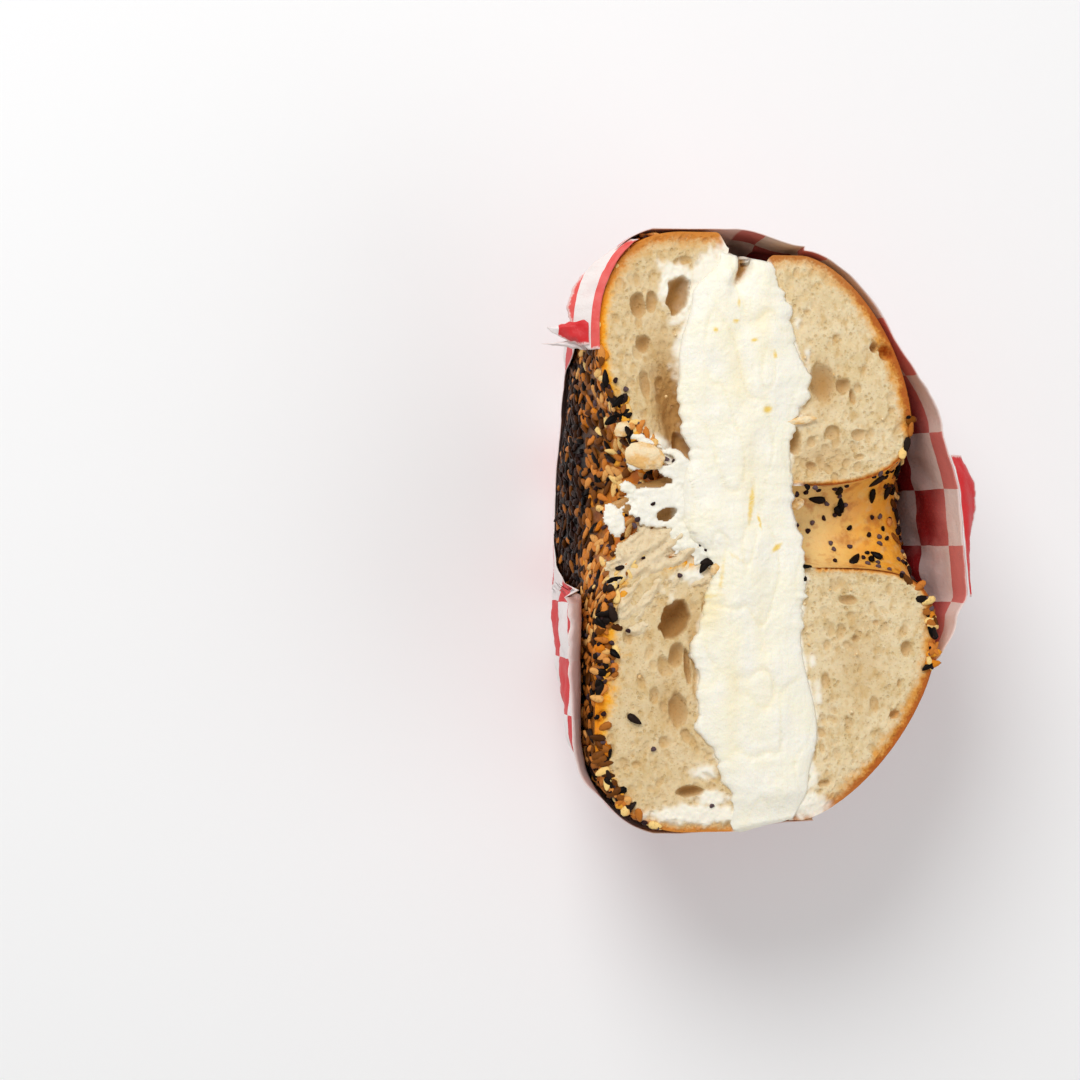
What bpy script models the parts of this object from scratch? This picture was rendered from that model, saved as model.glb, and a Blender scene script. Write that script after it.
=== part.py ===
"""Half of a seeded bagel sandwich with a thick layer of cream cheese, in its torn checked deli paper.

The whole bagel was split, filled, wrapped and then sawn through its hole. This half stands on its round rim
with the sawn face up. The bagel's own axis lies along X: the seeded crown is at -X and the flat base at +X.
The sawn face is level, and the half ring hangs under it. Angles run from the +Y arm, down and round to the -Y arm.
"""

import math
import random

import bmesh
import bpy
from mathutils import Euler, Matrix, Vector, noise

MM = 0.001

# Heights, all in millimetres until a mesh is finished
CUT_HEIGHT = 57.0
FOOD_FLOOR = 1.3
PAPER_THICK = 0.45
CLEARANCE = 0.7
AXIS_X = 1.1

# The bagel: a ring of dough 114 mm across, whose two sawn arms differ a little
RING_STEPS = 24
LIP = 1.6

# Where the filling meets the crown and the base on the sawn face: (place along Y, place along X)
CROWN_EDGE = [
    (57.0, -7.6),
    (52.0, -9.0),
    (45.0, -14.4),
    (33.0, -17.0),
    (24.0, -16.8),
    (13.0, -14.0),
    (2.0, -13.8),
    (-8.0, -9.8),
    (-21.0, -13.2),
    (-36.0, -12.6),
    (-44.0, -9.0),
    (-50.0, -6.0),
    (-57.0, -6.0),
]
BASE_EDGE = [
    (57.0, -3.0),
    (50.0, -1.0),
    (41.0, 2.6),
    (28.0, 6.4),
    (19.0, 3.0),
    (8.0, 3.2),
    (-8.0, 5.4),
    (-20.0, 5.2),
    (-38.0, 8.4),
    (-48.0, 6.6),
    (-57.0, 3.0),
]
CROWN_SPLIT = -14.5
BASE_SPLIT = 4.6
SQUASH_DEPTH = 15.0

# Colours read from the finished food, as linear red, green, blue
CRUST_COLOUR = (0.50, 0.21, 0.05)
BASE_COLOUR = (0.62, 0.36, 0.13)
CHEESE_COLOUR = (0.91, 0.83, 0.66)
PAPER_COLOUR = (0.62, 0.06, 0.06)


class Arm:
    """The dough's section at one sawn end: where it starts, is thickest and ends, and how round it is."""

    def __init__(self, inner, ridge, outer, height, inner_power, outer_power):
        self.inner = inner
        self.ridge = ridge
        self.outer = outer
        self.height = height
        self.inner_power = inner_power
        self.outer_power = outer_power

    def mixed(self, other, share):
        """The section part of the way round the ring, from this arm towards the other."""
        pairs = zip(vars(self).values(), vars(other).values())
        return Arm(*[mine + (theirs - mine) * share for mine, theirs in pairs])


CROWN_ARMS = (Arm(12.0, 36.0, 57.0, 18.6, 1.8, 2.4), Arm(4.6, 38.0, 57.0, 19.3, 4.0, 2.1))
BASE_ARMS = (Arm(8.8, 21.0, 52.8, 23.5, 2.5, 1.65), Arm(6.8, 23.0, 55.0, 28.2, 4.0, 1.5))

# Air pockets on the sawn faces: (X, Y, half width, half length, depth, turn in degrees)
CROWN_POCKETS = [
    (-25.6, 42.8, 1.5, 2.3, 2.0, 10),
    (-17.9, 45.0, 2.2, 3.8, 3.4, -12),
    (-24.6, 35.6, 1.4, 1.6, 1.8, 0),
    (-18.6, 22.0, 2.1, 9.0, 5.0, 14),
    (-18.4, -16.6, 2.8, 3.6, 5.0, -20),
    (-18.2, -23.4, 1.5, 2.2, 2.2, -10),
    (-17.8, -33.8, 1.7, 3.0, 1.8, 5),
    (-15.6, -49.2, 2.7, 1.1, 2.4, 0),
]
BASE_POCKETS = [
    (10.4, 28.6, 2.6, 3.9, 1.8, 12),
    (14.6, 28.0, 1.7, 2.0, 2.0, 0),
    (22.4, 34.4, 1.4, 1.5, 2.8, 30),
    (17.4, 18.6, 2.0, 1.6, 1.6, 0),
    (15.4, -13.0, 1.8, 1.1, 2.0, 0),
    (26.6, -22.4, 1.1, 1.4, 1.8, 0),
    (24.6, -35.0, 1.3, 1.1, 2.0, 25),
    (10.6, -48.0, 1.6, 0.9, 1.8, 10),
]

# Seeds: length, width and thickness, and how many are fused to each piece of bread
SESAME_SIZE = (3.1, 1.9, 1.1)
BLACK_SIZE = (2.8, 1.8, 1.2)
CROWN_SEEDS = 122
BASE_SEEDS = 12
SEED_SINK = 0.2
SEED_PATTERN = 41

# The filling
CHEESE_RADIUS = 54.6
CHEESE_TAPER = 1.0
CHEESE_CROWNING = 1.5
CHEESE_LUMPS = 1.1
# Filling pushed out into the hole on the crown's side: middle along Y, half width and how far it comes out
PLUG = (4.4, 6.0, 11.5)
PLUG_EDGE = 4.4
CHEESE_CROWDING = 0.26

# The paper
RIM_GAP = 1.3
CROWN_GAP = 1.7
BASE_GAP = 1.4
WALL_ROOM = 2.0
# Nearer the bagel's axis than this the walls span the hole
SPAN_RADIUS = 24.0
CRUMPLE = 1.5
# What hangs this near the table is pressed flat onto it
PRESSED = 1.4
# How far the edge lies under the sawn face at the two ends of the ring, +Y first
END_DROPS = (0.6, 4.0)
# How much lower it is torn along each wall: (place along Y, drop)
CROWN_TEAR = [
    (58.0, 0.0),
    (50.0, 2.5),
    (40.0, 10.0),
    (30.0, 23.0),
    (18.0, 36.0),
    (2.0, 38.0),
    (-6.0, 30.0),
    (-9.0, 8.0),
    (-13.0, 2.0),
    (-40.0, 0.6),
    (-58.0, 0.0),
]
BASE_TEAR = [(30.0, 0.0), (-20.0, 0.0), (-30.0, 3.0), (-50.0, 3.0)]
# How far each wall stands away from the dough at its edge: (place along Y, lean), and the depth where that ends
CROWN_LEAN = [
    (-4.0, 0.0),
    (-10.0, 6.4),
    (-24.0, 5.2),
    (-34.0, 3.9),
    (-46.0, 3.6),
    (-52.0, 0.0),
]
BASE_LEAN = [(38.0, 0.0), (20.0, 4.7), (8.0, 6.5), (-12.0, 6.5), (-17.0, 3.4), (-24.0, 0.0)]
CROWN_LEAN_END = 22.0
BASE_LEAN_END = 32.0


def smooth(value):
    """0 to 1 with a soft start and end."""
    held = min(1.0, max(0.0, value))
    return held * held * (3 - 2 * held)


def bell(value, width):
    return math.exp(-((value / width) ** 2))


def along(knots, place):
    """A value read from a falling list of (place, value) pairs, joined by soft steps."""
    if place >= knots[0][0]:
        return knots[0][1]
    for (high, first), (low, second) in zip(knots, knots[1:]):
        if place >= low:
            return first + (second - first) * smooth((high - place) / (high - low))
    return knots[-1][1]


def seam(knots, flat, y, depth):
    """X of the face between bread and filling: pushed about near the saw cut, flat further down."""
    near_cut = bell(depth, SQUASH_DEPTH)
    return flat + (along(knots, y) - flat) * near_cut


def crown_seam(y, depth):
    return seam(CROWN_EDGE, CROWN_SPLIT, y, depth)


def base_seam(y, depth):
    return seam(BASE_EDGE, BASE_SPLIT, y, depth)


def section_height(arm, radius):
    """How far the dough stands out from its split face at this distance from the bagel's axis."""
    if radius < arm.ridge:
        part = (arm.ridge - radius) / (arm.ridge - arm.inner)
        power = arm.inner_power
    else:
        part = (radius - arm.ridge) / (arm.outer - arm.ridge)
        power = arm.outer_power
    part = min(1.0, part)
    return LIP + (arm.height - LIP) * (1 - part**power) ** (1 / power)


def lumpy(point, size):
    """A soft random swell between -1 and 1, the same on every run."""
    return noise.noise(Vector(point) / size)


def ring_vertex(arms, side, seam_at, across, over, angle):
    """Real place of a point of a bread piece. across runs from the split face to the crust, over from hole to rim."""
    arm = arms[0].mixed(arms[1], (1 - math.cos(angle)) / 2)
    swell = math.sin(over * math.pi / 2)
    span = arm.ridge - arm.inner if over < 0 else arm.outer - arm.ridge
    radius = arm.ridge + swell * span
    crust = (CROWN_SPLIT if side < 0 else BASE_SPLIT) + side * section_height(arm, radius)
    y = radius * math.cos(angle)
    depth = radius * math.sin(angle)
    inner = seam_at(y, depth) + side * CLEARANCE / 2
    x = inner + (crust - inner) * across
    lump = lumpy((x, y, depth), 17.0)
    x += side * 0.7 * lump * across * min(1.0, depth / 4)
    shrink = 1 + 0.012 * lump * min(1.0, depth / 6)
    y *= shrink
    z = max(FOOD_FLOOR, CUT_HEIGHT - depth * shrink)
    return Vector((x + AXIS_X, y, z))


def finish_mesh(name, bm):
    """Turns a bmesh in millimetres into a named object in metres."""
    bmesh.ops.recalc_face_normals(bm, faces=bm.faces)
    bmesh.ops.scale(bm, vec=(MM, MM, MM), verts=bm.verts)
    mesh = bpy.data.meshes.new(name)
    bm.to_mesh(mesh)
    bm.free()
    return bpy.data.objects.new(name, mesh)


def half_ring(name, arms, side, seam_at):
    """Bread: a grid laid over the sawn end, spun half a turn about the bagel's axis and shaped."""
    bm = bmesh.new()
    bmesh.ops.create_grid(bm, x_segments=4, y_segments=16, size=1.0)
    bmesh.ops.translate(bm, vec=(0, 2, 0), verts=bm.verts)
    bmesh.ops.spin(
        bm,
        geom=bm.verts[:] + bm.edges[:] + bm.faces[:],
        cent=(0, 0, 0),
        axis=(1, 0, 0),
        angle=-math.pi,
        steps=RING_STEPS,
    )
    for vertex in bm.verts:
        x, y, z = vertex.co
        angle = math.atan2(max(-z, 0.0), y)
        over = math.hypot(y, z) - 2
        vertex.co = ring_vertex(arms, side, seam_at, (x + 1) / 2, over, angle)
    return finish_mesh(name, bm)


def evaluated_mesh(obj):
    """The object's mesh with its modifiers worked in."""
    graph = bpy.context.evaluated_depsgraph_get()
    return bpy.data.meshes.new_from_object(obj.evaluated_get(graph))


def boolean(target, tools, operation):
    """Cuts or fuses a whole collection of closed pieces in one step, then clears them away."""
    modifier = target.modifiers.new(operation.title(), "BOOLEAN")
    modifier.operation = operation
    modifier.operand_type = "COLLECTION"
    modifier.collection = tools
    modifier.solver = "MANIFOLD"
    bpy.context.view_layer.update()
    mesh = evaluated_mesh(target)
    target.modifiers.clear()
    target.data = mesh
    for tool in list(tools.objects):
        bpy.data.objects.remove(tool)
    bpy.data.collections.remove(tools)


def small_ball(name, collection, segments, rings):
    bm = bmesh.new()
    bmesh.ops.create_uvsphere(bm, u_segments=segments, v_segments=rings, radius=1.0)
    mesh = bpy.data.meshes.new(name)
    bm.to_mesh(mesh)
    bm.free()
    ball = bpy.data.objects.new(name, mesh)
    collection.objects.link(ball)
    return ball


def new_collection(name):
    collection = bpy.data.collections.new(name)
    bpy.context.scene.collection.children.link(collection)
    return collection


def cut_pockets(bread, pockets):
    """Scoops the large air pockets out of the sawn crumb."""
    tools = new_collection("Pockets")
    for x, y, half_width, half_length, depth, turn in pockets:
        ball = small_ball("Pocket", tools, 8, 6)
        ball.location = Vector((x + AXIS_X, y, CUT_HEIGHT + 0.15)) * MM
        ball.rotation_euler.z = math.radians(turn)
        ball.scale = Vector((half_width, half_length, depth)) * MM
    boolean(bread, tools, "DIFFERENCE")


def crust_frame(arms, side, seam_at, over, angle):
    """A point on the crust and the directions along the ring, over the section and out of the crust."""
    step = 0.01
    here = ring_vertex(arms, side, seam_at, 1.0, over, angle)
    ahead = ring_vertex(arms, side, seam_at, 1.0, over, angle + step)
    higher = ring_vertex(arms, side, seam_at, 1.0, over + step, angle)
    round_way = (ahead - here).normalized()
    outward = (higher - here).cross(round_way).normalized() * -side
    return here, round_way, outward


def sprinkle(bread, arms, side, seam_at, count, over_range, angle_range):
    """Fuses seeds to the crust. They are spread by a low-discrepancy rule, so that none overlap much."""
    rng = random.Random(SEED_PATTERN + count)
    tools = new_collection("Seeds")
    golden = 0.6180339887
    for index in range(count):
        over = over_range[0] + (over_range[1] - over_range[0]) * ((index * golden) % 1.0)
        angle = angle_range[0] + (angle_range[1] - angle_range[0]) * (index + 0.5) / count
        here, round_way, outward = crust_frame(arms, side, seam_at, over, angle)
        size = Vector(SESAME_SIZE if index % 3 else BLACK_SIZE) / 2
        turn = Matrix.Rotation(rng.uniform(0, math.pi), 3, outward)
        long_way = turn @ round_way
        axes = Matrix((long_way, outward.cross(long_way), outward)).transposed()
        tilt = Euler((rng.uniform(-0.25, 0.25), rng.uniform(-0.25, 0.25), 0)).to_matrix()
        seed = small_ball("Seed", tools, 5, 3)
        place = Matrix.Translation((here + outward * SEED_SINK) * MM)
        spin = (axes @ tilt).to_4x4()
        seed.matrix_world = place @ spin @ Matrix.Diagonal((*(size * MM), 1.0))
    boolean(bread, tools, "UNION")


def half_disc(across, along_y, down, crowding=0.0):
    """A box of quads bent to a half disc of radius 1, flat side up. Crowding packs its rows near the hole."""
    bm = bmesh.new()
    bmesh.ops.create_cube(bm, size=2.0)
    for axis, cuts in enumerate((across, along_y, down)):
        edges = [
            edge
            for edge in bm.edges
            if abs(edge.verts[0].co[axis] - edge.verts[1].co[axis]) > 1e-6
        ]
        bmesh.ops.subdivide_edges(bm, edges=edges, cuts=cuts, use_grid_fill=True)
    for vertex in bm.verts:
        x, v, h = vertex.co
        v *= 1 - crowding * (1 - v * v)
        w = (1 - h) / 2
        w *= 1 - crowding * (1 - w)
        vertex.co = (x, v * math.sqrt(1 - w * w / 2), -w * math.sqrt(1 - v * v / 2))
    return bm


def cheese_point(across, y, z):
    """The filling: a slab between the two seams, with a pillowed and lumpy sawn face."""
    depth = -z * CHEESE_RADIUS
    angle = math.atan2(depth, y)
    wave = 1 + 0.016 * math.sin(5 * angle + 0.8) + 0.012 * math.sin(11 * angle)
    radius = (CHEESE_RADIUS - CHEESE_TAPER * across) * wave
    y = y * radius
    depth = -z * radius
    low = crown_seam(y, depth) + CLEARANCE / 2
    low -= PLUG[2] * smooth((PLUG[1] - math.hypot(y - PLUG[0], depth)) / PLUG_EDGE)
    high = base_seam(y, depth) - CLEARANCE / 2
    x = low + (high - low) * (across + 1) / 2
    face = bell(depth, 3.0)
    pillow = math.sqrt(max(0.0, 1 - abs(across) ** 2.6)) * CHEESE_CROWNING
    lump = lumpy((x + 40, y, 0), 9.0) * CHEESE_LUMPS * (1 - abs(across) ** 4)
    rise = (pillow + lump) * face * smooth((CHEESE_RADIUS - abs(y)) / 6)
    return Vector((x + AXIS_X, y, max(FOOD_FLOOR + 0.3, CUT_HEIGHT - depth + rise)))


def make_cheese():
    bm = half_disc(5, 27, 7, CHEESE_CROWDING)
    for vertex in bm.verts:
        vertex.co = cheese_point(*vertex.co)
    return finish_mesh("cream_cheese", bm)


def paper_reach(arms, y, radius):
    """The wrap follows the dough's shoulder and spans the hole from ridge to ridge."""
    arm = arms[0].mixed(arms[1], (1 - y / max(radius, SPAN_RADIUS)) / 2)
    return section_height(arm, min(max(radius - WALL_ROOM, arm.ridge), arm.outer))


def paper_radius(across, angle):
    """The rim of the wrap tapers from the wider crown to the narrower base."""
    share = (1 - math.cos(angle)) / 2
    crown = CROWN_ARMS[0].mixed(CROWN_ARMS[1], share).outer
    base = BASE_ARMS[0].mixed(BASE_ARMS[1], share).outer
    return crown + (base - crown) * smooth((across + 1) / 2) + RIM_GAP


def torn_depth(tear, rim, y, depth):
    """Lowers a place of a wall, so that the wall starts at its torn edge and still ends at the rim."""
    deepest = math.sqrt(max(rim**2 - y * y, 0.0))
    drop = min(along(tear, y), 0.8 * deepest)
    return drop + depth * (1 - drop / max(deepest, 1.0))


def paper_point(across, y, z):
    """The wrap: a pouch round the half, open along the saw cut, torn low on the crown's side."""
    part = min(1.0, math.hypot(y, z))
    wall = abs(across) > 0.999
    first, last = [math.asin(drop / CROWN_ARMS[0].outer) for drop in END_DROPS]
    angle = first + math.atan2(-z, y) * (math.pi - first - last) / math.pi
    rim = paper_radius(across, angle)
    radius = rim * math.sin(part * math.pi / 2) if wall else rim
    y = radius * math.cos(angle)
    depth = radius * math.sin(angle)
    if across > 0.999:
        depth = torn_depth(BASE_TEAR, rim, y, depth)
        x = BASE_SPLIT + BASE_GAP + paper_reach(BASE_ARMS, y, radius)
        x += along(BASE_LEAN, y) * (1 - smooth(depth / BASE_LEAN_END))
    elif across < -0.999:
        depth = torn_depth(CROWN_TEAR, rim, y, depth)
        x = CROWN_SPLIT - CROWN_GAP - paper_reach(CROWN_ARMS, y, radius)
        x -= along(CROWN_LEAN, y) * (1 - smooth(depth / CROWN_LEAN_END))
    else:
        low = CROWN_SPLIT - LIP - CROWN_GAP
        high = BASE_SPLIT + LIP + BASE_GAP
        x = low + (high - low) * (across + 1) / 2
    fold = CRUMPLE * abs(lumpy((x, y, depth), 13.0))
    pleat = 0.5 * abs(math.sin(7 * angle)) * bell(part - 0.85, 0.12) if wall else 0.0
    x += (fold + pleat) * (across if wall else 0)
    if not wall:
        y += fold * math.cos(angle)
        depth += fold * math.sin(angle)
    above = CUT_HEIGHT - depth - PAPER_THICK
    if above < 2 * PRESSED:
        above = max(0.0, 2 * (above - PRESSED))
    return Vector((x + AXIS_X, y, PAPER_THICK + above))


def make_paper():
    """A single open sheet, thickened outwards and pressed flat where it lies on the table."""
    bm = half_disc(3, 25, 9)
    top = [face for face in bm.faces if all(vertex.co.z > -1e-6 for vertex in face.verts)]
    bmesh.ops.delete(bm, geom=top, context="FACES")
    for vertex in bm.verts:
        vertex.co = paper_point(*vertex.co)
    sheet = finish_mesh("paper_wrap", bm)
    bpy.context.scene.collection.objects.link(sheet)
    thicken = sheet.modifiers.new("Thickness", "SOLIDIFY")
    thicken.thickness = PAPER_THICK * MM
    thicken.offset = 1.0
    bpy.context.view_layer.update()
    mesh = evaluated_mesh(sheet)
    sheet.modifiers.clear()
    sheet.data = mesh
    bpy.context.scene.collection.objects.unlink(sheet)
    for vertex in mesh.vertices:
        vertex.co.z = max(vertex.co.z, 0.0)
    return sheet


def material(name, colour, roughness):
    made = bpy.data.materials.new(name)
    made.use_nodes = True
    shader = made.node_tree.nodes["Principled BSDF"]
    shader.inputs["Base Color"].default_value = (*colour, 1.0)
    shader.inputs["Roughness"].default_value = roughness
    shader.inputs["Metallic"].default_value = 0.0
    return made


def clear_scene():
    for obj in list(bpy.data.objects):
        bpy.data.objects.remove(obj, do_unlink=True)


def main():
    clear_scene()
    collection = new_collection("Bagel half")
    crown = half_ring("bagel_crown", CROWN_ARMS, -1, crown_seam)
    base = half_ring("bagel_base", BASE_ARMS, 1, base_seam)
    for bread in (crown, base):
        collection.objects.link(bread)
    cut_pockets(crown, CROWN_POCKETS)
    cut_pockets(base, BASE_POCKETS)
    sprinkle(crown, CROWN_ARMS, -1, crown_seam, CROWN_SEEDS, (-0.80, 0.72), (0.1, math.pi - 0.1))
    sprinkle(base, BASE_ARMS, 1, base_seam, BASE_SEEDS, (-0.75, -0.1), (0.12, math.pi - 0.12))
    cheese = make_cheese()
    paper = make_paper()
    collection.objects.link(cheese)
    collection.objects.link(paper)
    looks = [
        (crown, "Toasted seeded crust", CRUST_COLOUR, 0.55),
        (base, "Golden crust", BASE_COLOUR, 0.6),
        (cheese, "Cream cheese", CHEESE_COLOUR, 0.45),
        (paper, "Checked paper", PAPER_COLOUR, 0.6),
    ]
    for obj, name, colour, roughness in looks:
        obj.data.materials.clear()
        obj.data.materials.append(material(name, colour, roughness))


main()
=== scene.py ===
# %% [markdown]
# # Half a seeded bagel with cream cheese, in checked deli paper
#
# The food is real-sized: one unit is a metre, and the lesson works in millimetres until a mesh is finished.
# The half stands on its round rim with the sawn face up. The crown of the bagel is at -X, its flat base at
# +X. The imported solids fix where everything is. Each cell below gives one of them its true look.

# %% Load the fixed frame
import math

import bmesh
import bpy
import numpy as np
from mathutils import Matrix, Vector, noise
from mathutils.kdtree import KDTree


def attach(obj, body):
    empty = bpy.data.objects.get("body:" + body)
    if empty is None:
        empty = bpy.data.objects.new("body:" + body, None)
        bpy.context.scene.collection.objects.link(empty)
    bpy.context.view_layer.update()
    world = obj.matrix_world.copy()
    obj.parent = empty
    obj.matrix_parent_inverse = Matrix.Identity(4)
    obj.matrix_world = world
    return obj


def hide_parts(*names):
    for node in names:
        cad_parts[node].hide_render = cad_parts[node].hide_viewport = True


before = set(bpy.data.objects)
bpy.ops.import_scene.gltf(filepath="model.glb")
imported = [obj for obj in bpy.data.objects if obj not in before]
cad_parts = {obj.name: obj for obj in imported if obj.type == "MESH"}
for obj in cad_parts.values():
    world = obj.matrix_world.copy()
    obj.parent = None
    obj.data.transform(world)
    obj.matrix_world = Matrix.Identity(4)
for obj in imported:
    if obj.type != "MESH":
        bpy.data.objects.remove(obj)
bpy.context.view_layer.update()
MM = 0.001
print("solids:", list(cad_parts))

# %% [markdown]
# ## Small helpers for shaping
#
# Soft steps and bells describe swellings better than straight lines do. They take whole arrays, so that one
# call moves every vertex of a mesh. Random draws come from seeded generators, so each run gives the same
# food.

# %% Soft steps, bells and swells
def smooth(value):
    """0 to 1 with a soft start and end."""
    held = np.clip(value, 0.0, 1.0)
    return held * held * (3 - 2 * held)


def bell(value, width):
    return np.exp(-((value / width) ** 2))


def along(knots, place):
    """Values read from a falling list of (place, value) pairs, joined by soft steps."""
    place = np.asarray(place, float)
    result = np.where(place >= knots[0][0], knots[0][1], knots[-1][1])
    for (high, first), (low, second) in zip(knots, knots[1:]):
        inside = (place < high) & (place >= low)
        step = first + (second - first) * smooth((high - place) / (high - low))
        result = np.where(inside, step, result)
    return result


def swell(x, y, z, size):
    """Soft random relief between -1 and 1 whose bumps are about this size, in millimetres."""
    points = np.stack(np.broadcast_arrays(x, y, z), axis=-1).reshape(-1, 3) / size
    values = np.array([noise.noise(point) for point in points.tolist()])
    return values.reshape(np.broadcast(x, y, z).shape)


def relief(x, y, z, layers):
    """Swells added up. Each layer is its height, its size and a shift along Z that keeps it apart."""
    return sum(height * swell(x, y, z + shift, size) for height, size, shift in layers)


def blots(x, y, spots):
    """How strongly soft oval spots cover each place. Each is X, Y, half width, half length, strength, turn."""
    cover = np.zeros(len(x))
    for centre_x, centre_y, half_width, half_length, strength, *turned in spots:
        turn = math.radians(turned[0] if turned else 0.0)
        dx, dy = x - centre_x, y - centre_y
        first = (dx * math.cos(turn) + dy * math.sin(turn)) / half_width
        second = (dy * math.cos(turn) - dx * math.sin(turn)) / half_length
        cover = np.maximum(cover, strength * np.exp(-(first**2) - second**2))
    return cover


# %% [markdown]
# ## The bagel's form
#
# A bagel is a rolled ring of dough. Its section is a squashed egg that starts at the hole, is thickest at a
# ridge and ends at the rim. The two sawn ends of a hand-made ring differ, so each end has its own section,
# and the form runs smoothly from one to the other round the half circle. The same values shaped the packed
# solids.

# %% Driving dimensions of the food
CUT_HEIGHT = 57.0
FOOD_FLOOR = 1.3
AXIS_X = 1.1
LIP = 1.6
CLEARANCE = 0.7
SQUASH_DEPTH = 15.0
CROWN_SPLIT = -14.5
BASE_SPLIT = 4.6
CROWN, BASE = -1, 1
# How far the upper corners beside the filling are rounded off, over what share of the bread, and where
# along Y
CORNER = 3.0
CORNER_SHARE = 0.36
CORNER_FROM, CORNER_RUN = 44.0, 12.0
# Slow lumps that make the dough uneven: their size, how far they push out and how much they swell the ring
LUMP_SIZE = 17.0
LUMP_HEIGHT = 0.7
LUMP_GROWTH = 0.012
# Hole edge, ridge, rim, height, roundness towards the hole, roundness towards the rim
ARMS = {
    CROWN: ((12.0, 36.0, 57.0, 18.6, 1.8, 2.4), (4.6, 38.0, 57.0, 19.3, 4.0, 2.1)),
    BASE: ((8.8, 21.0, 52.8, 23.5, 2.5, 1.65), (6.8, 23.0, 55.0, 28.2, 4.0, 1.5)),
}
CROWN_EDGE = [
    (57.0, -7.6), (52.0, -9.0), (45.0, -14.4), (33.0, -17.0), (24.0, -16.8), (13.0, -14.0), (2.0, -13.8),
    (-8.0, -9.8), (-21.0, -13.2), (-36.0, -12.6), (-44.0, -9.0), (-50.0, -6.0), (-57.0, -6.0),
]
BASE_EDGE = [
    (57.0, -3.0), (50.0, -1.0), (41.0, 2.6), (28.0, 6.4), (19.0, 3.0), (8.0, 3.2), (-8.0, 5.4), (-20.0, 5.2),
    (-38.0, 8.4), (-48.0, 6.6), (-57.0, 3.0),
]
SEAMS = {CROWN: (CROWN_EDGE, CROWN_SPLIT), BASE: (BASE_EDGE, BASE_SPLIT)}


# %% The dough's section and where it goes round the ring
def seam(side, y, depth):
    """X of the face between bread and filling: pushed about near the saw cut, flat further down."""
    knots, flat = SEAMS[side]
    return flat + (along(knots, y) - flat) * bell(depth, SQUASH_DEPTH)


def arm_between(side, share):
    """The section's values at this share of the way from the upper sawn end to the lower one."""
    return [start + (end - start) * share for start, end in zip(*ARMS[side])]


def arm_at(side, angle):
    return arm_between(side, (1 - np.cos(angle)) / 2)


def section_height(arm, radius):
    """How far the dough stands out from its split face at this distance from the bagel's axis."""
    inner, ridge, outer, height, inner_power, outer_power = arm
    inside = radius < ridge
    part = np.where(inside, (ridge - radius) / (ridge - inner), (radius - ridge) / (outer - ridge))
    power = np.where(inside, inner_power, outer_power)
    part = np.clip(part, 0.0, 1.0)
    return LIP + (height - LIP) * (1 - part**power) ** (1 / power)


def dough_point(side, across, over, angle):
    """Places on bread: across goes from split face to crust, over from hole to rim, angle round the ring."""
    arm = arm_at(side, angle)
    sweep = np.sin(over * math.pi / 2)
    radius = arm[1] + sweep * np.where(over < 0, arm[1] - arm[0], arm[2] - arm[1])
    crust = SEAMS[side][1] + side * section_height(arm, radius)
    y = radius * np.cos(angle)
    depth = radius * np.sin(angle)
    split = seam(side, y, depth) + side * CLEARANCE / 2
    x = split + (crust - split) * across
    lump = swell(x, y, depth, LUMP_SIZE)
    x = x + side * LUMP_HEIGHT * lump * across * np.clip(depth / 4, 0, 1)
    growth = 1 + LUMP_GROWTH * lump * np.clip(depth / 6, 0, 1)
    z = np.maximum(FOOD_FLOOR, CUT_HEIGHT - depth * growth)
    corner = CORNER * (1 - smooth(across / CORNER_SHARE)) ** 2 * smooth((y - CORNER_FROM) / CORNER_RUN)
    return np.stack([x + AXIS_X, y * growth - corner, z], axis=-1)


# %% [markdown]
# ## Crumb
#
# Proofed dough is a foam. Sawn through, it shows a few large air pockets, many middle ones and a fine sponge.
# The large and middle ones are real hollows in the mesh here, because light has to fall into them. The sponge
# is left to the material. Each pocket is an ellipse whose rim is pushed about by noise.

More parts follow.
